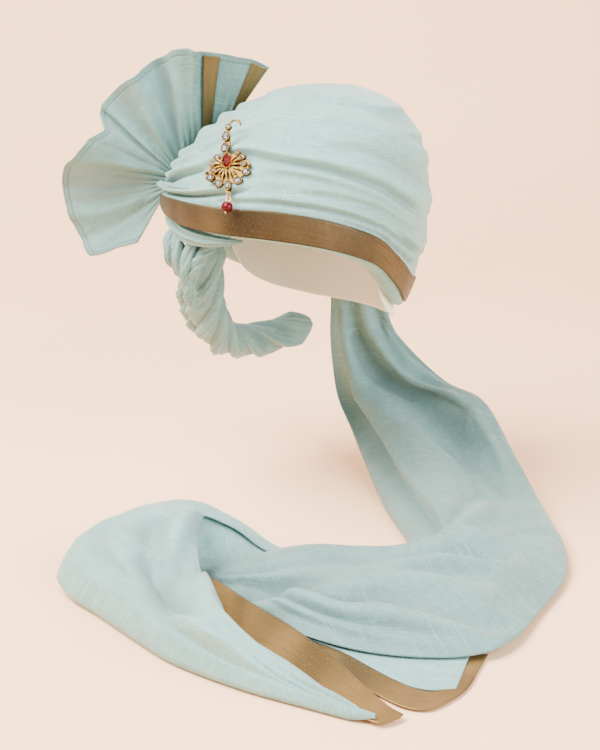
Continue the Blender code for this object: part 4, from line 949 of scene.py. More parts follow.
def lining_piece(sizes):
    first = round(CROWN_COLUMNS * LINING_START)
    last = round(CROWN_COLUMNS * LINING_END)
    across = np.linspace(0, 1, 150)
    down = np.linspace(0, 1, 18)
    azimuths = 360 * (first + across * (last - first)) / CROWN_COLUMNS - 180
    drop = (rim("drop", azimuths) * RIM_DROP)[:, None]
    ends = np.sin(math.pi * across)[:, None] ** 0.35
    level = -drop + LINING_HIDDEN - (LINING_HIDDEN + LINING_SHOWS * ends) * down[None, :]
    level = np.minimum(level, -HEAD_DOME - 2 * LINING_WALL)
    side = HOLLOW_SIDE - GAP - LINING_WALL / 2
    front = HOLLOW_FRONT - GAP - LINING_WALL / 2
    turn = np.radians(azimuths)[:, None]
    points = spots(side * np.sin(turn) + 0 * level, -front * np.cos(turn) + 0 * level, level)
    uv = cloth_lengths(points)
    look = plain_cotton("cotton_lining", sizes)
    made = cloth_sheet("lining_cloth", points, uv, 0.7 * LINING_WALL, look)
    seat(made, "lining_band")


# Rolls

# Small rolls wound between the side roll and the twisted one: places of each middle line, thickness and
# seed.
SMALL_ROLLS = (
    ("small_roll_outer", ((-0.108, -0.036, -0.084), (-0.1075, -0.047, -0.100), (-0.104, -0.050, -0.120),
                          (-0.099, -0.044, -0.142)), 0.0068, 3.0),
    ("small_roll_inner", ((-0.093, -0.056, -0.088), (-0.099, -0.0585, -0.108), (-0.0995, -0.053, -0.132),
                          (-0.095, -0.042, -0.160)), 0.0066, 5.0),
    ("small_roll_front", ((-0.072, -0.060, -0.092), (-0.083, -0.0625, -0.100), (-0.0925, -0.0600, -0.116),
                          (-0.098, -0.050, -0.136)), 0.0058, 7.0),
)


def rolls(sizes):
    # Rolls in a darker copy of the mint cloth: painted shade.
    look = silk_cotton("mint_rolls", sizes, tone=0.76)

    def under_radius(share):
        return UNDER_WRAP_HEIGHT / 2 * np.maximum(0.04, np.sin(math.pi * share ** 0.6)) ** 0.55

    route = []
    for index, azimuth in enumerate(UNDER_WRAP_ROUTE):
        half = float(under_radius(np.array(index / (len(UNDER_WRAP_ROUTE) - 1))))
        route.append(rim_underside(azimuth, UNDER_WRAP_INSET, 2 * GAP + half))
    under = rope("under_folds", route, under_radius, look, 120, 130, 7, 0.30, 0.10,
                 flat=UNDER_WRAP_DEPTH / UNDER_WRAP_HEIGHT, fine=0.06)
    seat(under, "under_wrap")

    route = []
    for index in range(5):
        azimuth = KNOT_AZIMUTH - 1 + KNOT_ROLL_REACH * index / 4
        above = float(border_height(azimuth)) + KNOT_ROLL_RADIUS * (1.6 + 0.25 * index)
        route.append(crown_point(azimuth, above, KNOT_ROLL_PRESS * KNOT_ROLL_RADIUS + GAP))

    def knot_radius(share):
        return KNOT_ROLL_RADIUS * (0.04 + 3.4 * share * (1 - share)) ** 0.5 * (1 - 0.35 * share)

    knot = rope("knot_folds", route, knot_radius, look, 60, 80, 4, 0.30, 0.4, fine=0.06)
    seat(knot, "knot_roll")

    top = rim_underside(-92, 0.25, UNDER_WRAP_HEIGHT + 0.9 * SIDE_ROLL_RADIUS)
    length = SIDE_ROLL_LENGTH
    steps = ((0.12, 0.06, 0.10), (-0.02, -0.22, -0.02), (-0.01, -0.36, -0.30), (0.128, -0.26, -0.60),
             (0.31, -0.04, -0.80))
    route = [top + length * np.array(step) for step in steps]

    def side_radius(share):
        return SIDE_ROLL_RADIUS * (4 * share * (1 - share) + 0.02) ** 0.4

    beside = rope("side_folds", route, side_radius, look, 96, 90, 5, 0.36, 0.8, fine=0.07, seed=2.0)
    seat(beside, "side_roll")

    main_route = twist_route()
    length = sum(float(np.linalg.norm(second - first)) for first, second in zip(main_route, main_route[1:]))

    def twist_radius(share):
        return TWIST_RADIUS * np.minimum(1.0, 16 * share * (1 - share) + 0.03) ** 0.5 * (1 - 0.12 * share)

    turns = length / TWIST_PITCH / 4 * 1.7
    main = rope("twisted_folds", main_route, twist_radius, look, 200, 300, 4, 0.27, turns,
                fine=0.075)
    seat(main, "twisted_roll")

    apart = STRAND_PRESS * (TWIST_RADIUS + STRAND_RADIUS) + GAP
    side = np.array(STRAND_SIDE)
    route = []
    for index in range(2, 6):
        ahead = unit(main_route[index + 1] - main_route[index - 1])
        route.append(main_route[index] + unit(side - ahead * side.dot(ahead)) * apart)

    def strand_radius(share):
        return STRAND_RADIUS * np.minimum(1.0, 8 * share * (1 - share) + 0.02) ** 0.5 * (1 - 0.2 * share)

    strand = rope("outer_folds", route, strand_radius, look, 100, 130, 3, 0.28, 1.6, fine=0.07, seed=1.0)
    seat(strand, "outer_strand")
    for name, middle, thick, seed in SMALL_ROLLS:
        def small_radius(share, thick=thick):
            return thick * (4 * share * (1 - share) + 0.03) ** 0.42

        route = [np.array(place) for place in middle]
        made = rope(name, route, small_radius, look, 44, 70, 3, 0.34, 1.1, fine=0.08,
                    seed=seed)
        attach(made, "root")


def twist_route():
    side = HEAD_WIDTH / 2
    depth = HEAD_DEPTH / 2
    drop = TWIST_DROP
    start = -0.475 * RIM_DROP - RIM_LIP - 0.55 * UNDER_WRAP_HEIGHT
    places = ((-1.02, -0.40, 0.0), (-1.07, -0.30, 0.24), (-1.09, -0.14, 0.46), (-1.05, 0.06, 0.68),
              (-0.93, 0.32, 0.88), (-0.68, 0.66, 0.99), (-0.30, 0.95, 1.0), (0.12, 1.08, 0.93))
    return [np.array((x * side, y * depth, start - z * drop)) for x, y, z in places]


# Fan

def fan_root(share):
    share = np.atleast_1d(np.asarray(share, float))
    azimuths = FAN_ROOT_LOW["azimuth"] + (FAN_ROOT_HIGH["azimuth"] - FAN_ROOT_LOW["azimuth"]) * share
    down = FAN_ROOT_LOW["down"] + (FAN_ROOT_HIGH["down"] - FAN_ROOT_LOW["down"]) * share
    above = []
    for azimuth, place in zip(azimuths, down):
        border = float(border_height(azimuth))
        above.append([border + (crown_length(azimuth) - border) * (1 - place)])
    return crown_surface(azimuths, np.array(above), FAN_CLEAR)[0][:, 0]


def fan_grid(ribs, out):
    """Points of the fan at ribs, whole or between, and shares of the way from root to hem."""
    whole = np.arange(len(FAN_RIBS["angle"]))

    def between(key):
        straight = np.interp(ribs, whole, FAN_RIBS[key])
        return 0.55 * straight + 0.45 * course(whole, FAN_RIBS[key], ribs)

    knot = fan_root(0.12)[0]
    angle = np.radians(between("angle"))
    reach = FAN_REACH * between("reach")
    root = fan_root(np.interp(ribs, whole, FAN_RIBS["root"]))
    tip_y = PLEAT_DEPTH * between("depth")
    tip = spots(knot[0] + reach * np.cos(angle), knot[1] + tip_y, knot[2] + reach * np.sin(angle))
    out = np.asarray(out)[None, :, None]
    points = root[:, None] + (tip - root)[:, None] * out
    way = out[..., 0]
    points[..., 1] = root[:, 1:2] + (knot[1] - root[:, 1:2]) * way + tip_y[:, None] * np.abs(way) ** 1.3
    return points


# Pleats of the fan: the angle of each at the knot (degrees), its rise towards the front (metres), its
# width and how it bends (degrees), and where along the rib it is strongest. A pleat that isn't soft is
# one layer over the next.
FAN_FOLDS = (
    {"angle": 131.5, "rise": -0.0046, "wide": 9.0, "bend": 0.0, "soft": False, "middle": 1.0, "short": 0.5},
    {"angle": 109.0, "rise": 0.0040, "wide": 3.2, "bend": -5.0, "soft": True, "middle": 1.0, "short": 0.6},
    {"angle": 94.0, "rise": -0.0048, "wide": 4.0, "bend": -6.0, "soft": True, "middle": 0.9, "short": 0.5},
    {"angle": 86.5, "rise": 0.0034, "wide": 3.6, "bend": -3.0, "soft": True, "middle": 0.8, "short": 0.6},
    {"angle": 120.0, "rise": -0.0030, "wide": 4.0, "bend": -3.0, "soft": True, "middle": 0.8, "short": 0.7},
    {"angle": 101.0, "rise": 0.0018, "wide": 2.4, "bend": 4.0, "soft": True, "middle": 0.6, "short": 0.9},
    {"angle": 182.0, "rise": -0.0060, "wide": 15.0, "bend": 0.0, "soft": True, "middle": 0.75, "short": 0.9},
    {"angle": 158.0, "rise": 0.0036, "wide": 5.0, "bend": 12.0, "soft": True, "middle": 0.8, "short": 0.7},
    {"angle": 146.0, "rise": -0.0030, "wide": 4.0, "bend": 4.0, "soft": True, "middle": 0.7, "short": 0.7},
    {"angle": 205.0, "rise": 0.0036, "wide": 5.0, "bend": -10.0, "soft": True, "middle": 0.7, "short": 0.8},
    {"angle": 218.0, "rise": -0.0028, "wide": 4.0, "bend": -6.0, "soft": True, "middle": 0.6, "short": 0.8},
    {"angle": 170.0, "rise": 0.0014, "wide": 2.6, "bend": 14.0, "soft": True, "middle": 0.4, "short": 1.2},
    {"angle": 192.0, "rise": 0.0014, "wide": 2.4, "bend": -8.0, "soft": True, "middle": 0.4, "short": 1.2},
)


def fan_piece(sizes):
    last = len(FAN_RIBS["angle"]) - 1
    ribs = np.linspace(0, last, 24 * 9 + 1)
    out = np.linspace(0, 1, 64)
    points = fan_grid(ribs, out)
    normals = grid_normals(points)
    gather = 0.0016 * np.sin(ribs * 5.2 + 1.6 * np.sin(ribs * 1.1))[:, None] * np.exp(-out / 0.32)[None, :]
    gather = gather * np.clip(out / 0.06, 0, 1)[None, :]
    angle = np.interp(ribs, np.arange(last + 1), FAN_RIBS["angle"])[:, None]
    pleats = np.zeros(gather.shape)
    for fold in FAN_FOLDS:
        off = (angle - fold["angle"] - fold["bend"] * (out[None, :] - 0.5)) / fold["wide"]
        shape = np.exp(-off ** 2) if fold["soft"] else np.exp(-np.abs(off)) * np.clip(off / 0.12, -1, 1)
        near = np.clip(1.25 - np.abs(out - fold["middle"]) * fold["short"], 0, 1)
        reach = np.clip(out / 0.35, 0, 1) ** 0.8 * near
        pleats += fold["rise"] * shape * reach[None, :]
    front = np.where(normals[..., 1] > 0, -1.0, 1.0)
    points = points + normals * (front * pleats)[..., None]
    soft = 0.0014 * rough(points, 22.0, 5.0) * np.clip(out / 0.25, 0, 1)[None, :]
    soft = soft + 0.0007 * crisp(points, 12.0, 8.0) * np.clip(out / 0.3, 0, 1)[None, :]
    ripple = 0.0007 * np.sin(ribs * 3.1)[:, None] * (out[None, :] ** 4)
    points = points + normals * (gather + soft + ripple)[..., None]
    run = arc_lengths(points, 0)
    down = arc_lengths(points, 1)
    from_hem = down[:, -1:] - down
    uv = spots(run[:, -1:] + 0 * from_hem, from_hem, 0.0)[..., :2]
    # Fan in a darker copy of the mint cloth: painted shade.
    look = silk_cotton("mint_fan", sizes, tone=0.72, hem=(1, 0.0))
    # Pleat relief, for painted shade in the pleat valleys and painted highlight on the ridges.
    relief = 1.3 * (front * pleats + gather) / 0.0035 * front
    made = cloth_sheet("fan_cloth", points, uv, 0.6 * FAN_WALL, look, relief=relief)
    seat(made, "fan")
    area = grid_area(points)
    for name, ends, node in (("fan_stripe_front", FRONT_STRIPE_RIBS, "fan_border_front"),
                             ("fan_stripe_back", BACK_STRIPE_RIBS, "fan_border_back")):
        fan_stripe(name, ends, node, sizes)


def fan_stripe(name, ends, node, sizes):
    first, last = ends
    out = STRIPE_START + (STRIPE_END + 0.03 - STRIPE_START) * np.linspace(0, 1, 56)
    inner, outer = fan_grid(np.array([first, last], float), out)
    ahead = np.gradient(inner, axis=0)
    outward = unit(np.cross(ahead, outer - inner))
    outward = outward * np.where(outward[:, 1:2] > 0, -1.0, 1.0)
    across = np.linspace(STRIPE_INSET, 1 - STRIPE_INSET, 12)[:, None, None]
    bow = np.sin(math.pi * np.linspace(0, 1, 12))[:, None, None] * 0.0003
    points = inner[None] + (outer - inner)[None] * across
    points = points + outward[None] * ((FAN_WALL + BORDER_WALL) / 2 + 2 * GAP + bow)
    down = arc_lengths(points, 1).mean(axis=0)
    width = float(np.linalg.norm((outer - inner)[-1])) * (1 - 2 * STRIPE_INSET)
    shares = np.linspace(0, 1, 12)[:, None]
    uv = spots(down[None, :] + 0 * shares, width * shares + 0 * down[None, :], 0.0)[..., :2]
    # Fan stripes in a darker copy of the gold weave: painted shade.
    look = gold_weave("gold_" + name, sizes, width, 0.84, 1.35)
    made = cloth_sheet(name, points, uv, 0.7 * BORDER_WALL, look)
    seat(made, node)
    area = grid_area(points)


def grid_area(points):
    first = np.diff(points, axis=0)[:, :-1]
    second = np.diff(points, axis=1)[:-1]
    return float(np.linalg.norm(np.cross(first, second), axis=-1).sum())


# Tail

def floor_place(x_share, y_share, up_share):
    return spots(np.asarray(x_share) * TAIL_SPREAD, np.asarray(y_share) * TAIL_REACH,
                 np.asarray(up_share) * FLOOR_DROP - FLOOR_DROP)


def table_edge(table, start, down, up=None):
    level = along(table, start + "_up", down) if up is None else up
    return floor_place(along(table, start + "_x", down), along(table, start + "_y", down), level)


# Where the tail leaves the rim at the nape: azimuth and spread in degrees, and the share inwards
NAPE_AZIMUTH = 167.0
NAPE_SPREAD = 32.0
NAPE_INWARD = 0.48


def tail_fall_points(across, down):
    inner = table_edge(TAIL_ROWS, "inner", down)
    outer = table_edge(TAIL_ROWS, "outer", down)
    a = across[:, None]
    points = inner[None] + (outer - inner)[None] * across[:, None, None]
    azimuths = NAPE_AZIMUTH - NAPE_SPREAD * across
    top = np.array([rim_underside(azimuth, NAPE_INWARD, GAP + TAIL_WALL) for azimuth in azimuths])
    top_share = (np.maximum(0.0, 1 - down * (len(TAIL_ROWS["puff"]) - 1)) ** 2)[None, :, None]
    points = points + (top[:, None] - points) * top_share
    crest = np.where((a > 0) & (a < 1), np.abs(np.sin(math.pi * np.sqrt(a))) ** 0.8, 0.0)
    points[..., 2] += TAIL_PUFF * along(TAIL_ROWS, "puff", down)[None, :] * crest
    wave = np.cos(math.tau * along(TAIL_ROWS, "waves", down)[None, :] * a) - 1
    pleat = TAIL_PLEAT * along(TAIL_ROWS, "pleat", down)[None, :]
    fold = pleat * wave * 0.5 * np.abs(np.sin(math.pi * a)) ** 0.5
    ahead = table_edge(TAIL_ROWS, "inner", np.minimum(down + 0.02, 1))
    behind = table_edge(TAIL_ROWS, "inner", np.maximum(down - 0.02, 0))
    outward = unit(np.cross(unit(outer - inner), ahead - behind))
    return points + outward[None] * fold[..., None]


# Folds of the tail and of its turned end: lines of places across and down, the rise on one side and the
# drop on the other (metres), and the width as a share of the cloth. A fold with an edge drops sharply, as
# one layer over the next.
FALL_FOLDS = (
    {"across": (0.83, 0.80, 0.79, 0.845, 0.87, 0.94), "down": (0.10, 0.154, 0.176, 0.20, 0.24, 0.275),
     "rise": 0.0060,
     "drop": 0.0050, "wide": -0.075, "edge": False},
    {"across": (0.60, 0.66, 0.70, 0.79, 0.93), "down": (0.12, 0.17, 0.22, 0.27, 0.283), "rise": 0.0050,
     "drop": 0.0045,
     "wide": -0.080, "edge": False},
    {"across": (0.34, 0.39, 0.52, 0.63, 0.79), "down": (0.12, 0.176, 0.206, 0.25, 0.30), "rise": 0.0015,
     "drop": 0.0080, "wide": 0.13, "edge": False},
    {"across": (0.20, 0.165, 0.155, 0.17, 0.18, 0.15), "down": (0.16, 0.238, 0.345, 0.411, 0.473, 0.513),
     "rise": -0.0130, "drop": -0.0070, "wide": 0.080, "edge": True},
    {"across": (0.134, 0.22, 0.328, 0.44, 0.555, 0.756), "down": (0.513, 0.482, 0.457, 0.432, 0.417, 0.407),
     "rise": 0.0080, "drop": 0.0075, "wide": 0.070, "edge": False, "creased": True},
    {"across": (0.93, 0.915, 0.915, 0.86, 0.80), "down": (0.28, 0.317, 0.349, 0.399, 0.44), "rise": 0.0030,
     "drop": 0.0036, "wide": 0.05, "edge": False},
    {"across": (0.02, 0.134, 0.24, 0.361, 0.529, 0.689, 0.866, 0.99),
     "down": (0.53, 0.520, 0.532, 0.540, 0.521, 0.492, 0.478, 0.471), "rise": 0.0105, "drop": 0.0080,
     "wide": 0.070,
     "edge": True},
    {"across": (0.70, 0.773, 0.67, 0.571, 0.471, 0.42, 0.504, 0.756),
     "down": (1.0, 0.984, 0.93, 0.89, 0.806, 0.727, 0.665, 0.625), "rise": 0.0080, "drop": 0.0120,
     "wide": 0.120,
     "edge": False},
    {"across": (0.30, 0.37, 0.361, 0.328, 0.303, 0.412, 0.697),
     "down": (0.98, 0.928, 0.846, 0.766, 0.683, 0.615, 0.565),
     "rise": 0.0075, "drop": 0.0070, "wide": 0.075, "edge": False},
    {"across": (0.60, 0.689, 0.706, 0.773, 0.882, 0.97), "down": (0.90, 0.852, 0.794, 0.747, 0.697, 0.65),
     "rise": 0.0080, "drop": 0.0110, "wide": 0.090, "edge": False, "creased": True},
    {"across": (0.72, 0.79, 0.857, 0.899, 0.941), "down": (0.93, 0.90, 0.85, 0.79, 0.729), "rise": 0.0030,
     "drop": 0.0034, "wide": 0.040, "edge": False},
    {"across": (0.40, 0.50, 0.62, 0.70), "down": (0.33, 0.345, 0.37, 0.41), "rise": 0.0022, "drop": 0.0020,
     "wide": 0.06, "edge": False},
    {"across": (0.45, 0.55, 0.60, 0.58), "down": (0.30, 0.36, 0.41, 0.46), "rise": 0.0024, "drop": 0.0022,
     "wide": 0.05, "edge": False},
    {"across": (0.15, 0.25, 0.40, 0.62), "down": (0.56, 0.572, 0.575, 0.56), "rise": 0.0024, "drop": 0.0024,
     "wide": 0.035, "edge": False},
)
TURN_FOLDS = (
    {"across": (0.86, 0.80, 0.706, 0.60, 0.441, 0.359, 0.312),
     "down": (0.50, 0.56, 0.647, 0.69, 0.721, 0.737, 0.747),
     "rise": 0.0080, "drop": 0.0085, "wide": -0.150, "edge": False},
    {"across": (0.671, 0.782, 0.74, 0.66, 0.50), "down": (0.36, 0.495, 0.57, 0.633, 0.70), "rise": 0.0010,
     "drop": 0.0120, "wide": 0.15, "edge": False},
    {"across": (0.985, 0.947, 0.90, 0.84, 0.747, 0.60, 0.50),
     "down": (0.26, 0.395, 0.551, 0.62, 0.673, 0.72, 0.754),
     "rise": 0.0080, "drop": 0.0030, "wide": 0.090, "edge": False},
    {"across": (0.41, 0.39, 0.38, 0.385, 0.37, 0.35), "down": (0.42, 0.509, 0.60, 0.691, 0.762, 0.82),
     "rise": 0.0045, "drop": 0.0040, "wide": 0.065, "edge": False},
    {"across": (0.52, 0.476, 0.488, 0.45), "down": (0.38, 0.45, 0.56, 0.66), "rise": 0.0030, "drop": 0.0034,
     "wide": 0.070, "edge": False},
    {"across": (0.95, 0.80, 0.741, 0.694, 0.75, 0.835), "down": (0.70, 0.77, 0.80, 0.848, 0.90, 0.95),
     "rise": 0.0024, "drop": 0.0034, "wide": 0.045, "edge": False},
    {"across": (0.58, 0.52, 0.47, 0.45), "down": (0.74, 0.80, 0.86, 0.92), "rise": 0.0018, "drop": 0.0022,
     "wide": 0.045, "edge": False},
)


# Length over width of the tail and of its turned end
FALL_ASPECT = 4.2
TURN_ASPECT = 2.6

# The folds are deeper on the floor, from this place down the tail, and on the turned end
SWATH_START = 0.56
SWATH_DEPTH = 1.35
TURN_DEPTH = 2.1

# Depth of a fold that gives the full painted crease shade
CREASE_DEPTH = 0.008


def pressed(folds, across, down, aspect):
    """Rise and fall of the folds over a piece, in metres. aspect is its length over its width."""
    total = np.zeros((len(across), len(down)))
    a = across[:, None]
    d = down[None, :] * aspect
    for fold in folds:
        steps = np.linspace(0, 1, 60)
        knots = np.linspace(0, 1, len(fold["across"]))
        line_a = course(knots, fold["across"], steps)
        line_d = course(knots, fold["down"], steps) * aspect
        nearest = np.full(total.shape, 1e9)
        off = np.zeros(total.shape)
        run = np.zeros(total.shape)
        for index in range(len(steps) - 1):
            start = np.array((line_a[index], line_d[index]))
            way = np.array((line_a[index + 1], line_d[index + 1])) - start
            length = max(float(np.linalg.norm(way)), 1e-6)
            way = way / length
            along_it = np.clip((a - start[0]) * way[0] + (d - start[1]) * way[1], 0, length)
            side = (a - start[0]) * way[1] - (d - start[1]) * way[0]
            gap = np.hypot(a - start[0] - way[0] * along_it, d - start[1] - way[1] * along_it)
            closer = gap < nearest
            nearest = np.where(closer, gap, nearest)
            off = np.where(closer, np.sign(side) * gap, off)
            run = np.where(closer, (index + along_it / length) / (len(steps) - 1), run)
        off = off / fold["wide"]
        if fold["edge"]:
            fade = np.clip(run * 6, 0, 1) * np.clip((1 - run) * 8, 0, 1)
            sharp = np.sin(HALF_PI * np.clip(off / 0.22, -1, 1))
            shape = np.where(off < 0, fold["rise"], fold["drop"]) * -sharp * np.exp(-np.abs(off) / 1.6)
        else:
            fade = np.sin(math.pi * np.clip(run, 0, 1)) ** 0.5
            valley = np.exp(-((off - 0.35) / 0.7) ** 2)
            if fold.get("creased"):
                valley = np.exp(-np.abs(off - 0.1) / 0.55)
            shape = fold["rise"] * np.exp(-((off + 0.9) / 0.8) ** 2) - fold["drop"] * valley
        total += fade * shape
    return total


def above_floor(points, wall):
    points[..., 2] = np.maximum(points[..., 2], -FLOOR_DROP + 0.6 * wall)
    return points


def tail_fall_piece(sizes):
    across = np.linspace(0, 1, 110)
    down = np.linspace(0, 1, 380)
    points = tail_fall_points(across, down)
    normals = grid_normals(points)
    normals = normals * np.where(normals[..., 2:3].mean() < 0, -1.0, 1.0)
    inside = (np.sin(math.pi * across)[:, None] ** 0.25) * np.clip(down / 0.08, 0, 1)[None, :]
    fall = pressed(FALL_FOLDS, across, down, FALL_ASPECT) * sizes.crumple
    fall = fall * np.where(down > SWATH_START, SWATH_DEPTH, 1.0)[None, :]
    small = (0.0010 * rough(points, 20.0, 12.0, 4) + 0.0009 * crisp(points, 11.0, 4.0)) * sizes.crumple
    points = points + normals * ((fall + small) * inside)[..., None]
    edge = np.clip((across - 0.90) / 0.10, 0, 1)[:, None] ** 1.6
    droop = edge * np.clip((down - 0.66) / 0.10, 0, 1)[None, :]
    points[..., 2] -= 0.75 * droop * np.maximum(points[..., 2] + FLOOR_DROP - 2.0 * TAIL_WALL, 0.0)
    points = above_floor(points, TAIL_WALL)
    uv = cloth_lengths(points)
    # Tail in a darker copy of the mint cloth: painted shade.
    look = silk_cotton("mint_tail", sizes, tone=0.66)
    # The folds' relief also gives painted shade in their valleys and painted highlight on their ridges.
    made = cloth_sheet("tail_cloth", points, uv, 0.5 * TAIL_WALL, look, relief=fall * inside / CREASE_DEPTH)
    seat(made, "tail_fall")
    laid_flat(points)


def turn_points(across, down):
    fold = floor_place(along(TURN_ROWS, "fold_x", down), along(TURN_ROWS, "fold_y", down), 0.0)
    edge = table_edge(TURN_ROWS, "edge", down)
    floor = -FLOOR_DROP + 0.6 * TAIL_WALL
    bulge = along(TURN_ROWS, "bulge", down)
    rise = np.minimum(TURN_FOLD_RISE * bulge + 1.6 * TAIL_WALL, edge[:, 2] - floor + TAIL_WALL)
    turned = 0.30
    a = across[:, None]
    under = 0.03 + along(TURN_ROWS, "under", down)[None, :] * (1 - np.clip(a / turned, 0, 1))
    share = np.clip((a - turned) / (1 - turned), 0, 1)
    place = np.where(a <= turned, under, share)
    points = fold[None] + (edge - fold)[None] * place[..., None]
    eased = 1 - (1 - share) ** 2.4
    lift = LOBE_PUFF * bulge[None, :] * np.sin(math.pi * share ** 0.8)
    level = floor + rise[None, :] * np.minimum(1.0, share * 9) ** 0.5
    level = level + (edge[:, 2] - floor - rise)[None, :] * eased + lift
    points[..., 2] = np.where(a <= turned, floor, level)
    narrowed = 0.70 * np.clip((down - TIP_START) / (1 - TIP_START), 0, 1) ** 1.4
    return points + (edge[None] - points) * narrowed[None, :, None]


def tail_turn_piece(sizes):
    below, bend, above = np.linspace(0, 0.28, 8), np.linspace(0.30, 0.42, 18), np.linspace(0.42, 1, 60)
    across = np.concatenate([below, bend[1:], above[1:]])
    down = np.linspace(0, 1, 250)
    points = turn_points(across, down)
    normals = grid_normals(points)
    upper = np.clip((across - 0.40) / 0.15, 0, 1)[:, None] * np.clip(down / 0.06, 0, 1)[None, :]
    upward = np.where(normals[40:, :, 2:3].mean() < 0, -1.0, 1.0)
    relief = TURN_DEPTH * pressed(TURN_FOLDS, across, down, TURN_ASPECT) * sizes.crumple
    small = (0.0010 * rough(points, 20.0, 22.0, 4) + 0.0009 * crisp(points, 11.0, 14.0)) * sizes.crumple
    points = points + normals * upward * ((relief + small) * upper)[..., None]
    points = above_floor(points, TAIL_WALL)
    uv = cloth_lengths(points)
    edge = float(uv[..., 0].max())
    look = silk_cotton("mint_turn", sizes, hem=(0, edge), hem_width=0.0045)
    # The folds' relief also gives painted shade in their valleys and painted highlight on their ridges.
    made = cloth_sheet("tail_turn_cloth", points, uv, 0.5 * TAIL_WALL, look,
                       relief=relief * upper / CREASE_DEPTH)
    seat(made, "tail_turn")
    laid_flat(points)


def inner_fold_piece(sizes):
    """The layer that lies inside the turned end, from its raised back edge down to the swath."""
    down = np.linspace(0, 1, 60)
    across = np.linspace(0, 1, 26)
    places = 0.03 + 0.265 * down
    back = table_edge(TURN_ROWS, "edge", places)
    back[:, 0] -= 0.006 * down
    back[:, 1] += 0.0065
    back[:, 2] -= 0.0008
    swath = table_edge(TAIL_ROWS, "inner", 0.74 + 0.26 * down)
    swath = swath + np.array((0.0, -0.006, 0.0))
    swath[:, 2] = -FLOOR_DROP + TAIL_WALL
    a = across[:, None, None]
    points = back[None] + (swath - back)[None] * a
    points[..., 2] -= 0.35 * (back - swath)[None, :, 2] * np.sin(math.pi * across)[:, None]
    points[..., 1] -= 0.010 * np.sin(math.pi * across)[:, None] * np.sin(math.pi * down)[None, :]
    points = points + grid_normals(points) * (0.0016 * rough(points, 26.0, 2.0))[..., None]
    points = above_floor(points, TAIL_WALL)
    look = silk_cotton("mint_inner", sizes)
    made = cloth_sheet("tail_inner_fold", points, cloth_lengths(points), 0.4 * TAIL_WALL, look)
    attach(made, "root")
    laid_flat(points)


def band(name, points, node, look, wall):
    run = arc_lengths(points, 1).mean(axis=0)
    width = arc_lengths(points, 0)[-1]
    shares = np.linspace(0, 1, points.shape[0])[:, None]
    uv = spots(run[None, :] + 0 * shares, float(width.mean()) * shares + 0 * run[None, :], 0.0)[..., :2]
    made = cloth_sheet(name, points, uv, wall, look)
    seat(made, node)
    area = grid_area(points)


def tail_borders(sizes):
    down = np.linspace(0, 1, 150)
    across = np.linspace(0, 1, 12)[:, None, None]
    upper = table_edge(FRONT_BAND, "upper", down)
    lower = table_edge(FRONT_BAND, "lower", down)
    tip = np.clip((down - TIP_START) / (1 - TIP_START), 0, 1) ** 1.4
    lower = lower + (upper - lower) * (0.72 * tip)[:, None]
    points = upper[None] + (lower - upper)[None] * across
    width = float(np.linalg.norm(lower - upper, axis=-1).mean())
    # Outer tail border in a lighter copy of the gold weave: painted light.
    band("tail_border_outer_cloth", points, "tail_border_front",
         gold_weave("gold_tail_front", sizes, width, 1.25),
         0.7 * BORDER_WALL)
    inner = table_edge(INNER_BAND, "inner", down, INNER_BAND_UP)
    outer = table_edge(INNER_BAND, "outer", down, INNER_BAND_UP)
    points = inner[None] + (outer - inner)[None] * across
    width = float(np.linalg.norm(outer - inner, axis=-1).mean())
    # Inner tail border in a lighter copy of the gold weave: painted light.
    band("tail_border_inner_cloth", points, "tail_border_inner",
         gold_weave("gold_tail_inner", sizes, width, 1.15),
         0.7 * BORDER_WALL)
    back = table_edge(PANEL, "back", down, PANEL_BACK_UP)
    front = table_edge(PANEL, "front", down, FLAT_UP)
    points = back[None] + (front - back)[None] * across
    points[..., 0] += 0.012 * np.clip((down - 0.72) / 0.28, 0, 1)[None, :] ** 1.3
    points[..., 1] -= 0.004 * across[:, :, 0] * np.clip((down - 0.50) / 0.30, 0, 1)[None, :]
    band("tail_panel_cloth", points, "tail_panel", silk_cotton("mint_panel", sizes),
         0.7 * BORDER_WALL)


# Brooch

def brooch_place():
    """The brooch's own axes, read from its packed stones: across, up the crown, and out of it."""
    ruby = middle_of("ruby_stone")
    left = middle_of("clear_stone_10")
    right = middle_of("clear_stone_14")
    top = middle_of("clear_stone_01")
    bottom = middle_of("clear_stone_12")
    across = (right - left).normalized()
    upward = (top - bottom).normalized()
    outward = across.cross(upward).normalized()
    upward = outward.cross(across).normalized()
    return Matrix((across, upward, outward)).transposed().to_4x4(), ruby


def middle_of(node):
    low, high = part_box(node)
    return (Vector(low) + Vector(high)) / 2


def brooch_pieces(sizes):
    gold = cast_gold("brooch_gold_cast", sizes)
    # Setting plate in a darker copy of the cast gold: painted shade between the petals and stones.
    plate = cast_gold("brooch_plate_gold", sizes, 0.24)
    crystal = cut_glass("crystal_foiled", (0.20, 0.21, 0.235), (0.015, 0.018, 0.024))
    ruby = cut_glass("ruby_foiled", (0.125, 0.0, 0.001), (0.022, 0.0, 0.0),
                     roughness=0.35, coat=0.0, specular=0.04)
    bead = cut_glass("red_bead_glass", (0.072, 0.0, 0.003), (0.036, 0.0, 0.002),
                     roughness=0.14, cut=90.0, coat=0.08, specular=0.12)
    for name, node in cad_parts.items():
        if name == "brooch_setting":
            paint(node, plate)
        elif name in ("drop_link", "bead_pin"):
            paint(node, gold)
        elif name.startswith("clear_stone"):
            paint(node, crystal)
        elif name == "ruby_stone":
            paint(node, ruby)
        elif name == "red_bead":
            paint(node, bead)
    brooch_wirework(sizes, gold)


def paint(node, look):
    node.data.materials.clear()
    node.data.materials.append(look)


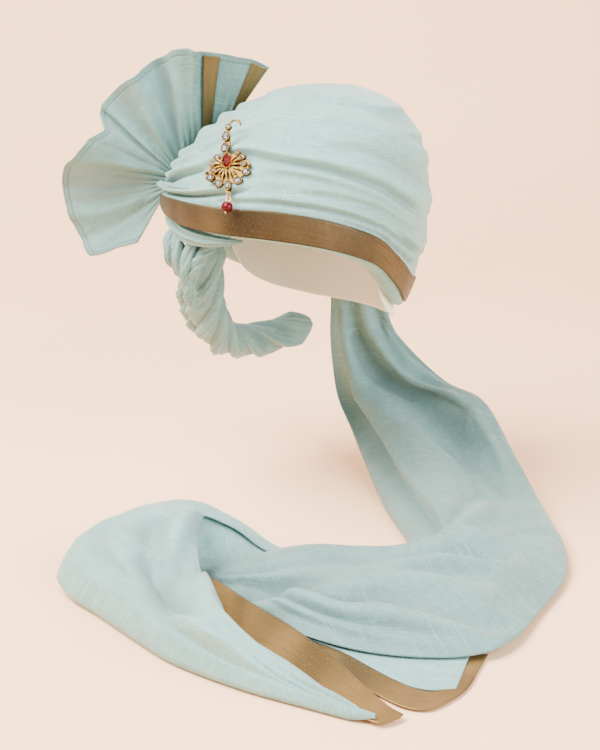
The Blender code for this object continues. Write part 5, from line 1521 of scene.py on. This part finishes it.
def brooch_wirework(sizes, gold):
    """Beaded rims round the stones and petals below the ruby, as one cast piece."""
    turn, ruby = brooch_place()
    pieces = []
    for number in range(1, 15):
        node = f"clear_stone_{number:02d}"
        pieces += beaded_rim(node, turn, sizes.grain)
    pieces += beaded_rim("ruby_stone", turn, sizes.grain * 1.15)
    pieces += rays(turn, ruby)
    deselect()
    for piece in pieces:
        piece.select_set(True)
    bpy.context.view_layer.objects.active = pieces[0]
    bpy.ops.object.join()
    made = bpy.context.view_layer.objects.active
    made.name = "brooch_wirework"
    bpy.ops.object.transform_apply(location=True, rotation=True, scale=True)
    made.data.materials.clear()
    made.data.materials.append(gold)
    made.data.shade_smooth()
    made.select_set(False)
    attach(made, "root")


def stone_size(node, turn):
    """Half sizes of a stone across and up the brooch, from its mesh."""
    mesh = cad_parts[node].data
    inverse = turn.to_3x3().transposed()
    points = np.array([inverse @ vertex.co for vertex in mesh.vertices])
    high, low = points.max(axis=0), points.min(axis=0)
    return (high - low) / 2, Vector((high + low) / 2)


def beaded_rim(node, turn, grain):
    """A ring of small gold grains round a stone, and a claw at each quarter."""
    half, local = stone_size(node, turn)
    rotation = turn.to_3x3()
    around = 2 * math.pi * (half[0] + half[1]) / 2 + 2 * math.pi * grain
    count = max(10, int(around / (grain * 2.1)))
    made = []
    for index in range(count):
        angle = math.tau * index / count
        spot = Vector((local.x + (half[0] + grain * 1.1) * math.cos(angle),
                       local.y + (half[1] + grain * 1.1) * math.sin(angle), local.z + half[2] * 0.55))
        bpy.ops.mesh.primitive_uv_sphere_add(segments=8, ring_count=5, radius=grain, location=rotation @ spot)
        made.append(bpy.context.view_layer.objects.active)
    for index in range(4):
        angle = math.tau * (index + 0.5) / 4
        spot = Vector((local.x + half[0] * 0.92 * math.cos(angle), local.y + half[1] * 0.92 * math.sin(angle),
                       local.z + half[2] * 0.95))
        bpy.ops.mesh.primitive_uv_sphere_add(segments=8, ring_count=5, radius=grain * 0.9,
                                             location=rotation @ spot)
        made.append(bpy.context.view_layer.objects.active)
    return made


def rays(turn, ruby):
    """Raised petals, widest at their middle, that spread below the ruby."""
    rotation = turn.to_3x3()
    inverse = rotation.transposed()
    local = inverse @ ruby
    made = []
    for index in range(13):
        angle = math.radians(-90 + (index - 6) * 21)
        away = 0.0078 + 0.0016 * (index % 2)
        spot = Vector((local.x + away * math.cos(angle), local.y - 0.0040 + away * math.sin(angle),
                       local.z + 0.0007))
        bpy.ops.mesh.primitive_uv_sphere_add(segments=12, ring_count=8, radius=1.0, location=(0, 0, 0))
        petal = bpy.context.view_layer.objects.active
        long_way = Matrix.Rotation(angle, 4, "Z") @ Matrix.Diagonal((0.0048, 0.00085, 0.0012, 1.0))
        petal.data.transform(Matrix.Translation(rotation @ spot) @ turn @ long_way)
        made.append(petal)
    return made


# Stage

# The photo's view: lens and film height in millimetres, tilt in degrees from straight down
VIEW_LENS = 75
VIEW_FILM = 36
VIEW_PLACE = (-0.002, -1.377, 0.191)
VIEW_TILT = 73


def stage(sizes):
    deselect()
    floor = backdrop(sizes)
    camera_data = bpy.data.cameras.new("view")
    camera_data.lens = VIEW_LENS
    camera_data.sensor_fit = "VERTICAL"
    camera_data.sensor_height = VIEW_FILM
    camera = bpy.data.objects.new("view", camera_data)
    camera.location = VIEW_PLACE
    camera.rotation_euler = (math.radians(VIEW_TILT), 0, 0)
    bpy.context.scene.collection.objects.link(camera)
    bpy.context.scene.camera = camera
    soft_light("window_left", (-1.25, -0.55, 1.60), (0.0, -0.05, -0.15), 1.6, sizes.key, (1.0, 0.97, 0.93))
    soft_light("fill_right", (1.7, -1.5, 0.7), (0.05, -0.1, -0.2), 1.8, sizes.key * 0.58, (0.93, 0.97, 1.0))
    soft_light("top_back", (0.3, 1.3, 1.6), (0.0, 0.0, -0.1), 1.4, sizes.key * 0.10, (1.0, 0.98, 0.96))
    world = bpy.data.worlds.new("studio")
    world.use_nodes = True
    world.node_tree.nodes["Background"].inputs[0].default_value = (0.96, 0.97, 1.0, 1.0)
    world.node_tree.nodes["Background"].inputs[1].default_value = sizes.ambient
    bpy.context.scene.world = world


def soft_light(name, place, target, size, power, colour):
    light = bpy.data.lights.new(name, "AREA")
    light.shape = "SQUARE"
    light.size = size
    light.energy = power
    light.color = colour
    made = bpy.data.objects.new(name, light)
    made.location = place
    made.rotation_euler = (Vector(target) - Vector(place)).to_track_quat("-Z", "Y").to_euler()
    bpy.context.scene.collection.objects.link(made)


def backdrop(sizes):
    """Floor and wall in one sweep of pale paper."""
    bpy.ops.mesh.primitive_grid_add(x_subdivisions=2, y_subdivisions=64, size=2, location=(0, 0, 0))
    made = bpy.context.view_layer.objects.active
    made.name = "floor"
    for vertex in made.data.vertices:
        share = (vertex.co.y + 1) / 2
        angle = max(0.0, min(1.0, (share - 0.55) / 0.20)) * HALF_PI
        flat = min(share, 0.55) / 0.55
        wall = max(0.0, share - 0.75) / 0.25
        vertex.co = (vertex.co.x * 4.0, -3.4 + 4.3 * flat + 0.9 * math.sin(angle),
                     -FLOOR_DROP - 0.0012 + 0.9 * (1 - math.cos(angle)) + 3.2 * wall)
    made.data.shade_smooth()
    look = Look("paper")
    base = tuple(sizes.paper)
    clouds = look.clouds(look.solid_place(), scale=1.1, detail=3.0, distortion=0.5)
    fibres = look.clouds(look.solid_place(), scale=90.0, detail=3.0)
    look.plain(Base_Color=look.blend(look.limits(clouds, 0.3, 0.7), shade(base, 0.955), shade(base, 1.035)),
               Roughness=0.85 + fibres * 0.1, Normal=look.bump(fibres, 0.0004, 0.25), Specular_IOR_Level=0.2)
    made.data.materials.append(look.material)
    return made


# What a user may change

class TurbanCloth(bpy.types.PropertyGroup):
    mint: FloatVectorProperty(name="Mint", description="Colour of the silk cotton", subtype="COLOR",
                              default=(0.180, 0.335, 0.312), min=0, max=1)
    crease_shade: FloatVectorProperty(name="Crease", description="Warm tone in the pressed creases",
                                # Colour of the painted shade in the creases and fold valleys.
                                subtype="COLOR",
                                default=(0.205, 0.31, 0.295), min=0, max=1)
    gold: FloatVectorProperty(name="Gold", description="Colour of the woven border", subtype="COLOR",
                              default=(0.128, 0.078, 0.024), min=0, max=1)
    lining: FloatVectorProperty(name="Lining", description="Colour of the cotton lining", subtype="COLOR",
                                default=(0.72, 0.72, 0.64), min=0, max=1)
    sheen: FloatProperty(name="Sheen", description="Strength of the cloth's soft sheen", default=0.30, min=0,
                         max=1,
                         subtype="FACTOR")
    fold_depth: FloatProperty(name="Fold depth", description="Height of the wound folds", default=FOLD_LIFT,
                              min=0, max=0.006, unit="LENGTH")
    crumple: FloatProperty(name="Crumple", description="How creased the tail is", default=1.0, min=0, max=2)


class TurbanBrooch(bpy.types.PropertyGroup):
    metal: FloatVectorProperty(name="Metal", description="Colour of the cast gold", subtype="COLOR",
                               default=(0.34, 0.200, 0.052), min=0, max=1)
    grain: FloatProperty(name="Grain", description="Radius of the small gold grains", default=0.00042,
                         min=0.0002,
                         max=0.001, unit="LENGTH")


class TurbanStage(bpy.types.PropertyGroup):
    paper: FloatVectorProperty(name="Paper", description="Colour of the floor and backdrop", subtype="COLOR",
                               default=(0.93, 0.58, 0.34), min=0, max=1)
    key: FloatProperty(name="Window light", description="Power of the main light", default=272.0, min=0,
                       max=400)
    ambient: FloatProperty(name="Room light", description="Strength of the light from all round",
                           default=0.58,
                           min=0, max=4)


class TURBAN_OT_crown(bpy.types.Operator):
    """Wind the crown"""

    bl_idname = "turban.crown"
    bl_label = "Crown"

    def execute(self, context):
        crown_piece(context.scene.turban_cloth)
        return {"FINISHED"}


class TURBAN_OT_border(bpy.types.Operator):
    """Lay the gold border round the rim"""

    bl_idname = "turban.border"
    bl_label = "Border"

    def execute(self, context):
        border_piece(context.scene.turban_cloth)
        return {"FINISHED"}


class TURBAN_OT_lining(bpy.types.Operator):
    """Set the lining inside the rim"""

    bl_idname = "turban.lining"
    bl_label = "Lining"

    def execute(self, context):
        lining_piece(context.scene.turban_cloth)
        return {"FINISHED"}


class TURBAN_OT_rolls(bpy.types.Operator):
    """Roll and twist the cloth below the fan"""

    bl_idname = "turban.rolls"
    bl_label = "Rolls"

    def execute(self, context):
        rolls(context.scene.turban_cloth)
        return {"FINISHED"}


class TURBAN_OT_fan(bpy.types.Operator):
    """Pleat the fan and lay its gold stripes"""

    bl_idname = "turban.fan"
    bl_label = "Fan"

    def execute(self, context):
        fan_piece(context.scene.turban_cloth)
        return {"FINISHED"}


class TURBAN_OT_tail(bpy.types.Operator):
    """Drape the tail down from the nape and across the floor"""

    bl_idname = "turban.tail"
    bl_label = "Tail"

    def execute(self, context):
        tail_fall_piece(context.scene.turban_cloth)
        return {"FINISHED"}


class TURBAN_OT_turn(bpy.types.Operator):
    """Turn the tail's end over"""

    bl_idname = "turban.turn"
    bl_label = "Turned end"

    def execute(self, context):
        tail_turn_piece(context.scene.turban_cloth)
        inner_fold_piece(context.scene.turban_cloth)
        tail_borders(context.scene.turban_cloth)
        return {"FINISHED"}


class TURBAN_OT_brooch(bpy.types.Operator):
    """Finish the brooch, its stones and its drop"""

    bl_idname = "turban.brooch"
    bl_label = "Brooch"

    def execute(self, context):
        brooch_pieces(context.scene.turban_brooch)
        return {"FINISHED"}


class TURBAN_OT_stage(bpy.types.Operator):
    """Set the floor, the lights and the camera"""

    bl_idname = "turban.stage"
    bl_label = "Stage"

    def execute(self, context):
        stage(context.scene.turban_stage)
        return {"FINISHED"}


class TURBAN_PT_pieces(bpy.types.Panel):
    """Pieces of the turban"""

    bl_label = "Turban"
    bl_space_type = "VIEW_3D"
    bl_region_type = "UI"
    bl_category = "Turban"

    def draw(self, context):
        for settings in (context.scene.turban_cloth, context.scene.turban_brooch, context.scene.turban_stage):
            box = self.layout.box()
            for key in settings.__annotations__:
                box.prop(settings, key)
        for operator in OPERATORS:
            self.layout.operator(operator.bl_idname)


OPERATORS = (TURBAN_OT_crown, TURBAN_OT_border, TURBAN_OT_lining, TURBAN_OT_rolls, TURBAN_OT_fan,
             TURBAN_OT_tail,
             TURBAN_OT_turn, TURBAN_OT_brooch, TURBAN_OT_stage)
SETTINGS = {"turban_cloth": TurbanCloth, "turban_brooch": TurbanBrooch, "turban_stage": TurbanStage}


def register():
    for settings in SETTINGS.values():
        bpy.utils.register_class(settings)
    for name, settings in SETTINGS.items():
        setattr(bpy.types.Scene, name, bpy.props.PointerProperty(type=settings))
    for operator in OPERATORS:
        bpy.utils.register_class(operator)
    bpy.utils.register_class(TURBAN_PT_pieces)


def unregister():
    bpy.utils.unregister_class(TURBAN_PT_pieces)
    for operator in reversed(OPERATORS):
        bpy.utils.unregister_class(operator)
    for name, settings in SETTINGS.items():
        delattr(bpy.types.Scene, name)
        bpy.utils.unregister_class(settings)


def main():
    register()
    deselect()
    bpy.ops.turban.crown()
    bpy.ops.turban.border()
    bpy.ops.turban.lining()
    bpy.ops.turban.rolls()
    bpy.ops.turban.fan()
    bpy.ops.turban.tail()
    bpy.ops.turban.turn()
    bpy.ops.turban.brooch()
    bpy.ops.turban.stage()
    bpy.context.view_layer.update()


if __name__ == "__main__":
    main()
